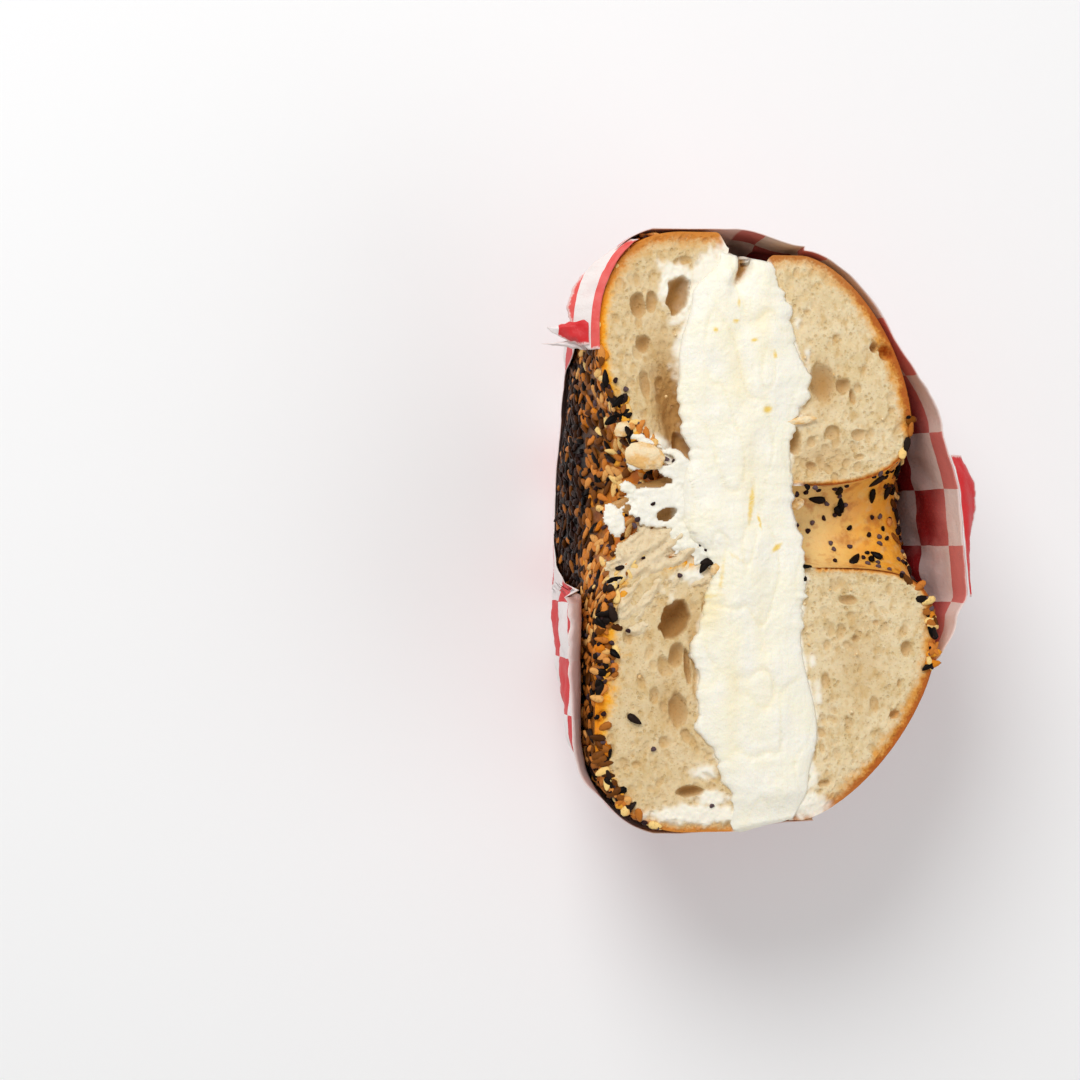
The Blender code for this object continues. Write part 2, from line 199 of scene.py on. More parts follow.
# %% Air pockets
# Each is X, Y, half width, half length, depth and turn in degrees
LARGE_POCKETS = {
    CROWN: [
        (-25.6, 42.8, 1.5, 2.6, 2.0, 10), (-23.0, 43.6, 1.1, 2.3, 1.5, 0), (-17.9, 45.0, 2.2, 3.8, 3.4, -12),
        (-24.6, 35.6, 1.5, 1.7, 1.8, 0), (-16.9, 15.4, 1.6, 3.6, 2.2, 16), (-18.4, -16.6, 2.8, 3.8, 5.0, -20),
        (-18.2, -23.4, 1.6, 2.4, 2.0, -10), (-17.8, -33.8, 1.8, 3.4, 1.6, 5), (-15.6, -49.2, 2.7, 1.1, 2.4, 0),
        (-24.2, 28.0, 1.0, 3.0, 1.3, 12), (-16.0, -25.5, 0.7, 3.6, 1.8, 6), (-20.4, -25.6, 1.4, 2.2, 1.0, 20),
        (-17.0, 51.4, 1.8, 0.9, 1.0, 10), (-22.4, -31.0, 0.9, 1.8, 0.8, 0), (-16.4, -38.6, 0.9, 1.6, 1.0, 15),
        (-20.6, -40.0, 1.1, 1.2, 0.8, 0), (-27.6, -20.0, 0.9, 1.4, 0.8, 10), (-21.8, 13.6, 0.9, 0.7, 0.8, 30),
        (-17.2, 16.6, 0.8, 1.5, 1.2, 0), (-26.0, -44.0, 1.0, 0.8, 0.7, 0), (-12.0, -46.4, 1.6, 0.6, 1.0, -30),
    ],
    BASE: [
        (22.9, 34.3, 1.4, 1.6, 2.8, 30), (20.6, 35.3, 0.9, 1.0, 2.2, 0), (10.4, 28.6, 2.5, 3.9, 1.6, 12),
        (14.6, 28.0, 1.5, 1.6, 1.7, 0), (16.3, 26.0, 0.6, 1.4, 1.4, 12), (12.2, 19.0, 1.5, 1.4, 1.3, 0),
        (4.6, 17.4, 1.6, 2.6, 2.0, 0), (17.4, 18.6, 1.5, 1.2, 1.2, 0), (15.4, -13.0, 1.8, 0.9, 1.4, 0),
        (27.0, -22.4, 1.1, 1.5, 1.5, 0), (24.6, -35.0, 1.1, 0.9, 1.6, 25), (17.0, -20.4, 0.8, 0.8, 1.0, 0),
        (11.0, -28.4, 0.9, 1.6, 0.9, 0), (10.0, -38.4, 1.1, 1.0, 0.9, 0), (7.0, -47.0, 1.1, 0.7, 1.1, 10),
        (10.6, -48.0, 1.3, 0.7, 1.2, 10), (24.0, 23.4, 0.7, 0.7, 0.8, 0), (7.4, 42.0, 0.8, 0.6, 0.6, 0),
        (17.6, 14.4, 1.0, 0.6, 0.7, 10), (25.6, -29.0, 0.5, 0.9, 0.8, 0), (21.0, -17.4, 0.7, 0.6, 0.7, 0),
        (8.2, 12.6, 1.2, 0.8, 1.2, -20), (26.4, 30.0, 0.6, 0.9, 0.7, 10), (5.2, 25.0, 0.8, 1.6, 0.9, 0),
    ],
}
MIDDLE_POCKETS = 170
SMALL_POCKETS = 2600
MIDDLE_SIZES = (0.42, 0.95)
SMALL_SIZE, SMALL_SPREAD = 0.13, 0.34
# Broad soft valleys, in the same form
VALLEYS = {
    CROWN: [
        (-18.4, 22.0, 3.2, 11.0, 3.6, 12), (-19.4, -33.0, 3.0, 5.0, 0.8, 8), (-14.2, -24.0, 1.3, 9.0, 1.2, 4),
    ],
    BASE: [(10.2, 27.6, 4.4, 5.0, 0.7), (11.0, 14.0, 6.0, 3.0, 0.8), (18.0, -26.0, 6.0, 9.0, 0.5)],
}


def scattered_pockets(rng, places):
    """Middle and small pockets at seeded random places of the sawn face, the small ones far more common."""
    chosen = places[rng.integers(0, len(places), MIDDLE_POCKETS + SMALL_POCKETS)]
    small = SMALL_SIZE + SMALL_SPREAD * rng.uniform(0, 1, SMALL_POCKETS) ** 2.2
    half = np.concatenate([rng.uniform(*MIDDLE_SIZES, MIDDLE_POCKETS), small])
    stretch = rng.uniform(1.0, 1.9, len(half))
    depth = half * rng.uniform(0.25, 0.9, len(half))
    turn = rng.uniform(-35, 35, len(half))
    return np.column_stack([chosen, half, half * stretch, depth, turn])


def pocket_depth(x, y, pockets, rim_noise):
    """How deep the pockets are under each place of the sawn face."""
    deepest = np.zeros(len(x))
    for centre_x, centre_y, half_width, half_length, depth, turn in pockets:
        reach = 1.3 * max(half_width, half_length)
        near = np.flatnonzero((abs(x - centre_x) < reach) & (abs(y - centre_y) < reach))
        dx, dy = x[near] - centre_x, y[near] - centre_y
        cos, sin = math.cos(math.radians(turn)), math.sin(math.radians(turn))
        ring = np.hypot((dx * cos + dy * sin) / half_width, (dy * cos - dx * sin) / half_length)
        bowl = depth * np.sqrt(np.clip(1 - (ring * (1 + 0.22 * rim_noise[near])) ** 2.2, 0, 1))
        deepest[near] = np.maximum(deepest[near], bowl)
    return deepest


# %% [markdown]
# Where the knife dragged cream cheese over the crumb it fills the fine sponge and leaves a thin white film.
# It is a painted mask on the same mesh, a little raised, because a film that thin has no edge of its own.

# %% Cheese films
# Each is X, Y, half width, half length, strength and, where it is turned, its turn in degrees
FILMS = {
    CROWN: [
        (-18.2, 49.4, 4.6, 2.4, 0.9), (-20.6, 46.6, 1.5, 4.2, 0.9), (-16.2, 46.0, 1.4, 5.0, 0.8),
        (-17.8, 40.4, 2.6, 1.5, 0.8), (-11.6, 48.0, 3.6, 5.0, 1.5), (-15.6, 38.0, 2.2, 12.0, 0.8, 4),
        (-24.0, 15.6, 5.4, 3.0, 1.3), (-17.4, 12.6, 4.4, 3.0, 1.4),
        (-29.0, 18.0, 2.0, 2.4, 0.9), (-12.6, -45.6, 2.8, 2.0, 0.8), (-14.0, -53.6, 9.6, 2.0, 1.2),
        (-11.4, -50.6, 3.6, 2.0, 0.9), (-14.6, -8.4, 4.6, 2.0, 0.9), (-18.6, -12.6, 1.4, 3.0, 0.5),
        (-14.4, -2.6, 3.6, 2.4, 0.8), (-28.6, 5.2, 3.2, 5.0, 1.1), (-22.0, 3.0, 5.0, 4.0, 1.1),
    ],
    BASE: [
        (5.4, 21.0, 1.4, 2.0, 0.7), (6.0, -52.0, 5.6, 2.8, 1.3), (7.0, -46.0, 2.8, 3.0, 1.0),
        (9.4, -31.4, 1.4, 3.6, 0.7), (6.6, -41.6, 1.2, 3.2, 0.7), (5.2, 8.6, 2.0, 1.0, 0.9),
        (6.4, -8.6, 1.8, 1.6, 0.8), (7.4, 33.0, 1.2, 3.2, 0.7), (5.4, 40.0, 1.4, 2.0, 0.6),
        (9.6, -36.8, 1.0, 1.6, 0.6), (8.4, -24.0, 1.0, 3.0, 0.6),
    ],
}


# How far the film reaches beside the filling, and how much further on the crown's upper lobe
FILM_REACH, FILM_EXTRA = 1.4, 0.8
# It ends this deep in the hole, and the crown's broad valley is nearly clean over this half length
FILM_DEPTH = 9.0
CLEAN_SHARE, CLEAN_LENGTH = 0.8, 9.0
FILM_RAGS = [(1.0, 2.6, 0.0), (0.6, 1.0, 9.0)]
RAG_HEIGHT, FILM_EDGE, FILM_SOFTNESS = 0.34, 0.22, 0.62


def film_cover(side, x, y, depth):
    """1 where cheese covers the bread, 0 where it is clean, with a ragged edge between."""
    edge_side = seam(side, y, 0.0)
    reach = FILM_REACH + FILM_EXTRA * smooth(y / 20) * (side == CROWN)
    clean = CLEAN_SHARE * bell(y - VALLEYS[CROWN][0][1], CLEAN_LENGTH) * (side == CROWN)
    cover = np.maximum(blots(x, y, FILMS[side]), (1 - clean) * bell(x - edge_side, reach))
    rough = relief(x, y, depth, FILM_RAGS)
    return smooth((cover * bell(depth, FILM_DEPTH) + RAG_HEIGHT * rough - FILM_EDGE) / FILM_SOFTNESS)


# %% [markdown]
# ## Turning the section into bread
#
# `bmesh.ops.create_grid` lays a flat grid over the section and `bmesh.ops.spin` turns it half a turn, which
# leaves a closed solid with a sawn face at each end. `subdivide_edges` then refines only those two faces, as
# the crust between them is smooth and needs few quads. Every vertex is last moved to its place on the dough.

# %% Cells of the grid, and the baked band on the sawn face
SECTION_CELLS = (24, 64)
RING_STEPS = 132
FACE_REFINEMENT = 3
CRUMB_GRAIN = [(0.07, 0.8, 30.0), (0.20, 3.0, 60.0)]
# Pockets keep this far from the crust, and hollows and valleys fade out towards it over these distances
POCKET_MARGIN, HOLLOW_FADE, VALLEY_FADE = 0.9, 1.2, 3.0
# Cheese on the crown's side ends this far from the middle of the hole
CRUST_FILM = 14.0
# How wide the baked band is along Y. The crown's shoulder was sawn slantwise on one lobe
RIND_WIDTHS = {
    CROWN: [
        (58.0, 4.4), (50.0, 2.8), (42.0, 2.2), (30.0, 2.0), (8.0, 2.4), (-14.0, 2.6), (-24.0, 5.4),
        (-31.0, 4.4), (-38.0, 2.6), (-58.0, 2.0),
    ],
    BASE: [(58.0, 2.6), (24.0, 3.4), (15.0, 1.0), (-9.0, 1.0), (-18.0, 3.0), (-58.0, 3.0)],
}


# %% From a bmesh to a finished object

def write_values(mesh, name, values):
    """Keeps one number for each vertex, for the materials to read."""
    layer = mesh.attributes.new(name, "FLOAT", "POINT")
    layer.data.foreach_set("value", np.asarray(values, np.float32))


def finished_object(name, bm, places, **values):
    """An object at the origin with its vertices at these places, given in millimetres, shaded smooth."""
    for vertex, place in zip(bm.verts, (np.asarray(places) * MM).tolist()):
        vertex.co = place
    bmesh.ops.recalc_face_normals(bm, faces=bm.faces)
    mesh = bpy.data.meshes.new(name)
    bm.to_mesh(mesh)
    bm.free()
    for key, numbers in values.items():
        write_values(mesh, key, numbers)
    mesh.polygons.foreach_set("use_smooth", [True] * len(mesh.polygons))
    mesh.update()
    obj = bpy.data.objects.new(name, mesh)
    bpy.context.scene.collection.objects.link(obj)
    print(f"{name}: {len(mesh.vertices)} vertices, {len(mesh.polygons)} faces")
    return obj


# %% Spin and shape one half of the bread
def spun_grid():
    bm = bmesh.new()
    bmesh.ops.create_grid(bm, x_segments=SECTION_CELLS[0], y_segments=SECTION_CELLS[1], size=1.0)
    bmesh.ops.translate(bm, vec=(0, 2, 0), verts=bm.verts)
    whole = bm.verts[:] + bm.edges[:] + bm.faces[:]
    bmesh.ops.spin(bm, geom=whole, cent=(0, 0, 0), axis=(1, 0, 0), angle=-math.pi, steps=RING_STEPS)
    flat = [edge for edge in bm.edges if all(abs(vertex.co.z) < 1e-5 for vertex in edge.verts)]
    bmesh.ops.subdivide_edges(bm, edges=flat, cuts=FACE_REFINEMENT, use_grid_fill=True)
    return bm


def vertex_array(bm):
    return np.array([vertex.co for vertex in bm.verts])


def bread_half(name, side, seed):
    bm = spun_grid()
    flat = vertex_array(bm)
    across = (flat[:, 0] + 1) / 2
    angle = np.arctan2(np.maximum(-flat[:, 2], 0.0), flat[:, 1])
    over = np.clip(np.hypot(flat[:, 1], flat[:, 2]) - 2, -1, 1)
    sawn = abs(flat[:, 2]) < 1e-5
    places = dough_point(side, across, over, angle)
    x, y, depth = places[:, 0] - AXIS_X, places[:, 1], CUT_HEIGHT - places[:, 2]

    # How far each place of the sawn face is from the crust, measured to the nearest point of its outline
    outline = sawn & ((across > 0.999) | (abs(over) > 0.999))
    tree = KDTree(int(outline.sum()))
    for index, place in enumerate(places[outline]):
        tree.insert(place, index)
    tree.balance()
    crust_away = np.zeros(len(places))
    crust_away[sawn] = [tree.find(place)[2] for place in places[sawn]]

    rng = np.random.default_rng(seed)
    rim_noise = swell(x, y, depth, 1.6)
    inside = np.column_stack([x, y])[sawn & (crust_away > POCKET_MARGIN)]
    pockets = np.vstack([LARGE_POCKETS[side], scattered_pockets(rng, inside)])
    hollow = np.zeros(len(places))
    hollow[sawn] = pocket_depth(x[sawn], y[sawn], pockets, rim_noise[sawn])
    hollow *= smooth(crust_away / HOLLOW_FADE)
    valley = blots(x, y, VALLEYS[side]) * sawn * smooth(crust_away / VALLEY_FADE)
    rind = crust_away / along(RIND_WIDTHS[side], y)
    film = film_cover(side, x, y, depth) * np.where(side == CROWN, 1.0, sawn)
    film = np.where(sawn, film, film * smooth((CRUST_FILM - np.hypot(y - 4, depth)) / 4))
    film *= 1 - 0.8 * smooth((hollow - 0.6) / 1.0)
    grain = relief(x, y, depth, CRUMB_GRAIN)
    worn_edge = 0.55 * (1 - smooth(rind)) + 0.25 * abs(rim_noise) * (1 - smooth(rind / 1.5))
    lowered = hollow * (1 - 0.5 * film) + valley - 0.25 * film + grain * smooth(crust_away) + worn_edge
    places[:, 2] -= np.where(sawn, lowered, 0.0)
    return finished_object(name, bm, places, rind=rind, hollow=hollow + valley, film=film, sawn=sawn)


crown = bread_half("crown_bread", CROWN, 5)
base = bread_half("base_bread", BASE, 8)

# %% [markdown]
# ## Cream cheese
#
# The filling is a soft slab squeezed between the two halves. The saw dragged it: there are pillows, creases
# and long knife lines, and its edge creeps over the crumb. It starts as a cube that is subdivided along
# each axis and bent to a half disc, because a slab needs a face, two sides and a rim with even quads.

# %% A half disc of even quads
def half_disc(across, along_y, down, crowding=0.0):
    bm = bmesh.new()
    bmesh.ops.create_cube(bm, size=2.0)
    for axis, cuts in enumerate((across, along_y, down)):
        edges = [e for e in bm.edges if abs(e.verts[0].co[axis] - e.verts[1].co[axis]) > 1e-6]
        bmesh.ops.subdivide_edges(bm, edges=edges, cuts=cuts, use_grid_fill=True)
    corners = vertex_array(bm)
    v = corners[:, 1] * (1 - crowding * (1 - corners[:, 1] ** 2))
    w = (1 - corners[:, 2]) / 2
    w *= 1 - crowding * (1 - w)
    return bm, corners[:, 0], v * np.sqrt(1 - w * w / 2), w * np.sqrt(1 - v * v / 2)


# %% Driving dimensions of the filling
CHEESE_RADIUS = 54.6
CHEESE_TAPER = 1.0
CHEESE_CROWDING = 0.26
CHEESE_CELLS = (56, 300, 26)
PLUG = (4.8, 8.6, 13.0)
PLUG_EDGE = 6.5
# A split in the filling at the upper end: place across, Y, half width as a share, half length and depth
NOTCH = (-0.05, 51.4, 0.18, 4.4, 5.0)
# The least that the face's edge laps over the bread, how far the face stands proud and how high its pillow is
LEAST_LAP = 0.45
PROUD = 0.28
PILLOW = 1.5
CHEESE_PITS = [(0.14, 1.6, 12.0), (0.09, 0.8, 12.0)]
# How far the face drops where cheese bulges into the hole
PLUG_DROP = 4.6
# Yellow streaks in the filling and creamier zones: X, Y, half width, half length, strength and turn in
# degrees
STREAKS = [
    (-0.9, 23.3, 1.1, 0.9, 1, 20), (-7.0, 40.0, 0.9, 0.45, 1), (-3.5, 36.4, 0.8, 0.5, 1, 10),
    (-11.0, 38.3, 0.6, 0.6, 1), (-4.0, 5.4, 0.6, 4.4, 1, -6), (1.0, -3.0, 1.5, 0.6, 1, 40),
    (-2.4, 2.0, 0.3, 2.0, 1, 12), (0.6, 33.7, 0.4, 1.0, 1, 10), (-9.8, -8.6, 0.6, 5.2, 0.6, -8),
    (-12.4, -12.2, 4.6, 0.6, 0.55, 6), (-7.4, -4.6, 3.0, 0.6, 0.5, -34), (-6.4, 43.4, 0.4, 1.2, 0.8),
]
CREAM = [
    (-12.6, -14.6, 3.8, 5.2, 0.9, 8), (-6.8, 30.0, 2.2, 9.0, 0.5, 12), (-1.6, 40.0, 2.0, 6.0, 0.5, -8),
    (-4.6, 12.0, 2.0, 10.0, 0.45), (-7.8, -30.0, 1.6, 14.0, 0.4), (-2.0, -20.0, 1.5, 12.0, 0.35, 5),
]


# %% The filling's sides, face and the plug in the hole
def filling():
    bm, across, y, w = half_disc(*CHEESE_CELLS, CHEESE_CROWDING)
    angle = np.arctan2(w * CHEESE_RADIUS, y)
    wave = 1 + 0.016 * np.sin(5 * angle + 0.8) + 0.012 * np.sin(11 * angle)
    radius = (CHEESE_RADIUS - CHEESE_TAPER * across) * wave
    upper_end, lower_end = smooth((y - 0.8) / 0.2), smooth((-y - 0.8) / 0.2)
    radius = radius * np.where(y > 0, 1 - 0.055 * upper_end, 1 + 0.028 * lower_end)
    y, depth = y * radius, w * radius
    face = w < 1e-6
    flat = np.zeros(len(y))
    creep = 0.6 + 1.5 * smooth(0.5 + swell(flat, y, flat, 5.0)) + 0.8 * swell(flat, y, flat + 7, 1.8)
    creep = creep * (1 - 0.8 * smooth((y - 22) / 8)) + 0.35 * swell(flat, y, flat + 9, 0.7)
    other = flat + 50
    creep_right = 0.3 + 1.0 * smooth(0.5 + swell(other, y, flat, 6.0)) + 0.9 * swell(other, y, flat, 1.9)
    creep_right = creep_right - 1.2 * smooth((-22 - y) / 10)
    creep_right = np.maximum(creep_right + 0.4 * swell(other, y, flat, 0.7), LEAST_LAP)
    low = seam(CROWN, y, depth) + CLEARANCE / 2
    high = seam(BASE, y, depth) - CLEARANCE / 2
    plug = smooth((PLUG[1] - np.hypot(y - PLUG[0], depth)) / PLUG_EDGE)
    low = low - PLUG[2] * plug * (0.85 + 0.5 * swell(flat, y, depth, 3.2))
    notch = bell(y - NOTCH[1], NOTCH[3]) * bell(across - NOTCH[0], NOTCH[2])
    low = np.where(face, low - np.maximum(creep, LEAST_LAP) - CLEARANCE, low)
    high = np.where(face, high + creep_right + CLEARANCE, high)
    x = low + (high - low) * (across + 1) / 2

    # The sawn face: a pillow, slow swells, sharp creases and fine drag lines along Y
    edge = 1 - abs(across) ** 4
    pillow = PILLOW * np.sqrt(np.clip(1 - abs(across) ** 2.6, 0, 1))
    lumps = 0.8 * swell(x + 40, y * 0.6, flat, 9.0) + 0.45 * swell(x, y * 0.7, flat + 3, 4.0)
    creases = 0.3 * np.clip(1 - 9 * abs(swell(x * 1.3, y * 0.5, flat + 21, 7.0)), 0, 1) ** 2
    lines = 0.13 * swell(x / 0.9, y / 14, flat, 1.0) * (0.2 + 0.8 * smooth((-4 - y) / 10))
    pits = relief(x, y, flat, CHEESE_PITS)
    ends = smooth((CHEESE_RADIUS - abs(y)) / 6)
    rise = (pillow + (lumps - creases + lines + pits) * edge) * bell(depth, 3.0) * ends
    rise = rise - PLUG_DROP * smooth((seam(CROWN, y, 0.0) - 1.5 - x) / 4) * bell(depth, 6.0)
    rise = rise - NOTCH[4] * notch * bell(depth, 7.0)
    z = CUT_HEIGHT - depth + rise + PROUD * face
    sides = 0.5 * swell(x, y, depth, 3.0) * smooth(depth / 3) * (1 - smooth((abs(across) - 0.9) / 0.05))
    places = np.stack([x + AXIS_X, y + sides, np.maximum(FOOD_FLOOR + 0.3, z)], axis=-1)
    # Creases are painted creamier, which is painted shade in them. The listed zones are creamier cheese.
    cream = np.clip(creases * edge + blots(x, y, CREAM), 0, 1)
    stain = np.maximum(notch, smooth((seam(CROWN, y, 0.0) - 3.0 - x) / 3))
    streak = blots(x, y, STREAKS) * face
    return finished_object("filling", bm, places, streak=streak, cream=cream, stain=stain)


cheese = filling()

# %% [markdown]
# At the hole the saw smeared a thin, ragged sheet of cheese over the crown, and tore the crumb of the lower
# lobe into slanting fibres. Each is a fine grid. Soft spots say where it is kept, gaps where it is torn
# through, and every vertex outside is deleted. A Solidify modifier then gives the sheet its thickness.

# %% Ragged sheets at the mouth of the hole
# Spots and gaps are X, Y, half width, half length, strength and turn in degrees
SHEET_EDGE = 0.4
SHEET_CELL = 0.2
SHEET_FILM = 0.22
CHEESE_SPOTS = [
    (-21.4, 5.4, 6.0, 4.6, 1.3, -12), (-17.4, 12.0, 4.6, 3.2, 1.3, -30), (-12.4, 6.0, 4.4, 11.0, 1.6),
    (-30.0, 2.0, 2.0, 3.4, 1.1, 14), (-27.4, 8.4, 2.2, 1.4, 0.9, -20), (-15.6, -0.6, 4.4, 3.0, 1.2, 20),
    (-26.4, 12.6, 1.6, 1.2, 0.8), (-24.2, 17.2, 4.6, 1.0, 0.8, -20),
]
CHEESE_GAPS = [
    (-20.2, 3.4, 1.9, 1.1, 1.6, 20), (-20.2, 13.6, 1.3, 0.9, 1.6), (-23.3, 9.6, 2.4, 1.0, 1.6, -14),
    (-15.8, 15.8, 1.0, 2.4, 1.2, 14),
]
CRUMB_SPOTS = [
    (-24.4, -8.4, 6.4, 7.0, 1.4), (-16.0, -7.0, 7.0, 4.6, 1.5, 20), (-22.0, -2.2, 6.4, 3.6, 1.2, 10),
    (-26.0, -15.0, 4.0, 6.0, 1.0),
]
CRUMB_GAPS = [(-18.8, -14.6, 3.0, 2.6, 1.2), (-13.4, -12.6, 3.0, 1.4, 1.2)]


def torn_sheet(name, corners, spots, gaps, height, thick, fibre_turn, fibre_depth):
    """A ragged sheet inside these corners, at this height over the sawn face, with fibres that run one way."""
    low_x, high_x, low_y, high_y = corners
    cells = [int((high_x - low_x) / SHEET_CELL), int((high_y - low_y) / SHEET_CELL)]
    bm = bmesh.new()
    bmesh.ops.create_grid(bm, x_segments=cells[0], y_segments=cells[1], size=1.0)
    flat = vertex_array(bm)
    x = low_x + (high_x - low_x) * (flat[:, 0] + 1) / 2
    y = low_y + (high_y - low_y) * (flat[:, 1] + 1) / 2
    zero = np.zeros(len(x))
    cover = blots(x, y, spots) * (1 - np.minimum(blots(x, y, gaps), 1.0))
    cover = cover + 0.26 * swell(x, y, zero + height, 2.2) + 0.16 * swell(x, y, zero + height, 0.8)
    body = np.clip((cover - SHEET_EDGE) / 0.35, 0, 1)
    cos, sin = math.cos(fibre_turn), math.sin(fibre_turn)
    fibres = swell((x * cos + y * sin) / 3.2, y * cos - x * sin, zero + 4, 1.7)
    fibres = fibres + 0.5 * swell((x * cos + y * sin) / 2.4, y * cos - x * sin, zero + 14, 0.8)
    rough = fibre_depth * fibres + 0.25 * swell(x, y, zero, 2.4) + 0.12 * swell(x, y, zero + 3, 0.9)
    z = CUT_HEIGHT + height + thick * np.sqrt(body) + rough * body
    kept = cover > SHEET_EDGE
    outside = [vertex for vertex, inside in zip(bm.verts, kept) if not inside]
    bmesh.ops.delete(bm, geom=outside, context="VERTS")
    places = np.column_stack([x + AXIS_X, y, z])[kept]
    hollow = np.clip(-1.5 * fibre_depth * fibres - 0.5, 0, 1.2)[kept]
    none = zero[kept]
    bread_values = {"hollow": hollow, "rind": none + 3, "film": none + SHEET_FILM, "sawn": none + 1}
    cheese_values = {"streak": none, "cream": none, "stain": none}
    return finished_object(name, bm, places, **bread_values, **cheese_values)


def filled_out(obj, thick):
    modifier = obj.modifiers.new("Thickness", "SOLIDIFY")
    modifier.thickness = thick * MM
    modifier.offset = -1.0


cheese_area, crumb_area = (-36.0, -7.0, -7.0, 22.0), (-36.0, -7.0, -26.0, 5.0)
cheese_sheet = torn_sheet("cheese_smear", cheese_area, CHEESE_SPOTS, CHEESE_GAPS, -0.3, 0.8, 0.3, 0.16)
torn_crumb = torn_sheet("torn_crumb", crumb_area, CRUMB_SPOTS, CRUMB_GAPS, -1.2, 1.3, 0.78, 0.95)
filled_out(cheese_sheet, 0.7)
filled_out(torn_crumb, 1.4)

# %% [markdown]
# ## Deli paper
#
# Thin printed paper was wrapped round the bagel and sawn with it. It is a pouch: two walls and a rim, made
# from the same half disc as the filling with its top face deleted. Crumples are folds with sharp crests, so
# they come from the absolute value of a swell, added at three sizes. They only push outwards, so the paper
# never cuts the bread. A ragged edge comes from noise on the edge's depth.

# %% Driving dimensions of the paper
PAPER_THICK = 0.16
RIM_GAP = 0.5
CROWN_GAP = 1.1
BASE_GAP = 0.7
WALL_ROOM = 1.0
SPAN_RADIUS = 24.0
# The three sizes of crumple: height, size, and a shift along X and Y that keeps them apart
CRUMPLES = [(1.7, 13.0, 0.0, 0.0), (1.3, 6.0, 5.0, 0.0), (0.45, 2.6, 0.0, 5.0)]
PRESSED = 1.4
END_DROPS = (0.6, 4.0)
# How much lower the sheet is torn along each wall, by place along Y
TEARS = {
    CROWN: [
        (58.0, 0.0), (46.0, 1.0), (40.0, 4.0), (35.6, 16.0), (29.0, 35.0), (20.0, 44.0), (2.0, 46.0),
        (-6.0, 38.0), (-10.5, 26.0), (-11.8, 2.5), (-40.0, 0.6), (-58.0, 0.0),
    ],
    BASE: [(30.0, 0.0), (-20.0, 0.0), (-30.0, 4.0), (-50.0, 4.0)],
}
# How far each wall leans away from the dough at its edge, by place along Y, and the depth where that ends
LEANS = {
    CROWN: [(-4.0, 0.0), (-10.0, 6.4), (-24.0, 5.2), (-34.0, 3.9), (-46.0, 3.6), (-52.0, 0.0)],
    BASE: [(38.0, 0.0), (20.0, 4.9), (8.0, 6.9), (-12.0, 6.9), (-17.0, 4.4), (-26.0, 0.4)],
}
LEAN_END = {CROWN: 9.0, BASE: 32.0}
# The crown's wall is slack where it leaves the rim: middle along Y, half length and extra gap
SLACK = (41.0, 11.0, 0.6)
PAPER_CELLS = (44, 150, 64)
PRINT_SHIFT = (2.2, 3.8)
PRINT_SQUEEZE = 0.96


# %% Walls, rim and crumples
def wall_x(side, y, depth):
    """Where a wall of the wrap stands: it spans the hole and follows the dough's shoulder."""
    radius = np.hypot(y, depth)
    arm = arm_between(side, (1 - y / np.maximum(radius, SPAN_RADIUS)) / 2)
    radius = np.minimum(np.maximum(radius - WALL_ROOM, arm[1]), arm[2])
    split, gap = (CROWN_SPLIT, CROWN_GAP) if side == CROWN else (BASE_SPLIT, BASE_GAP)
    lean = along(LEANS[side], y) * (1 - smooth(depth / LEAN_END[side]))
    slack = SLACK[2] * bell(y - SLACK[0], SLACK[1]) if side == CROWN else 0.0
    return split + side * (gap + slack + section_height(arm, radius) + lean)


def rim_radius(across, angle):
    """The rim tapers from the wider crown to the narrower base, later where it spans the filling's gap."""
    crown_rim, base_rim = arm_at(CROWN, angle)[2], arm_at(BASE, angle)[2]
    late = smooth((np.cos(angle) - 0.75) / 0.25)
    share = smooth((across + 1 - 0.9 * late) / (2 - 0.9 * late)) * (1 - 0.3 * late)
    return crown_rim + (base_rim - crown_rim) * share + RIM_GAP


def crumple(x, y, depth):
    """Outward crumpling: broad folds, sharp creases and small wrinkles, all above zero."""
    return sum(height * abs(swell(x + aside, y + on, depth, size)) for height, size, aside, on in CRUMPLES)


def pressed(height):
    """What hangs low is pressed flat onto the table."""
    above = height - PAPER_THICK
    return PAPER_THICK + np.where(above < 2 * PRESSED, np.maximum(0.0, 2 * (above - PRESSED)), above)


def uv_from(obj, flat, other=None, is_other=None):
    """Keeps a flat place in millimetres for each corner, which the printed checks follow.

    Faces whose corners are all marked in is_other read the other flat places.
    """
    mesh = obj.data
    layer = mesh.uv_layers.new(name="print")
    corners = np.empty(len(mesh.loops), np.int32)
    mesh.loops.foreach_get("vertex_index", corners)
    places = flat[corners]
    if other is not None:
        marked = is_other[corners].reshape(-1, 4).all(axis=1).repeat(4)
        places = np.where(marked[:, None], other[corners], places)
    layer.data.foreach_set("uv", places.astype(np.float32).ravel())


def thicken(obj, outward):
    """Gives a sheet its thickness. The printed side is the outer one, so each side has its own material."""
    modifier = obj.modifiers.new("Thickness", "SOLIDIFY")
    modifier.thickness = PAPER_THICK * MM
    modifier.offset = outward
    modifier.material_offset = 1
    modifier.material_offset_rim = 2


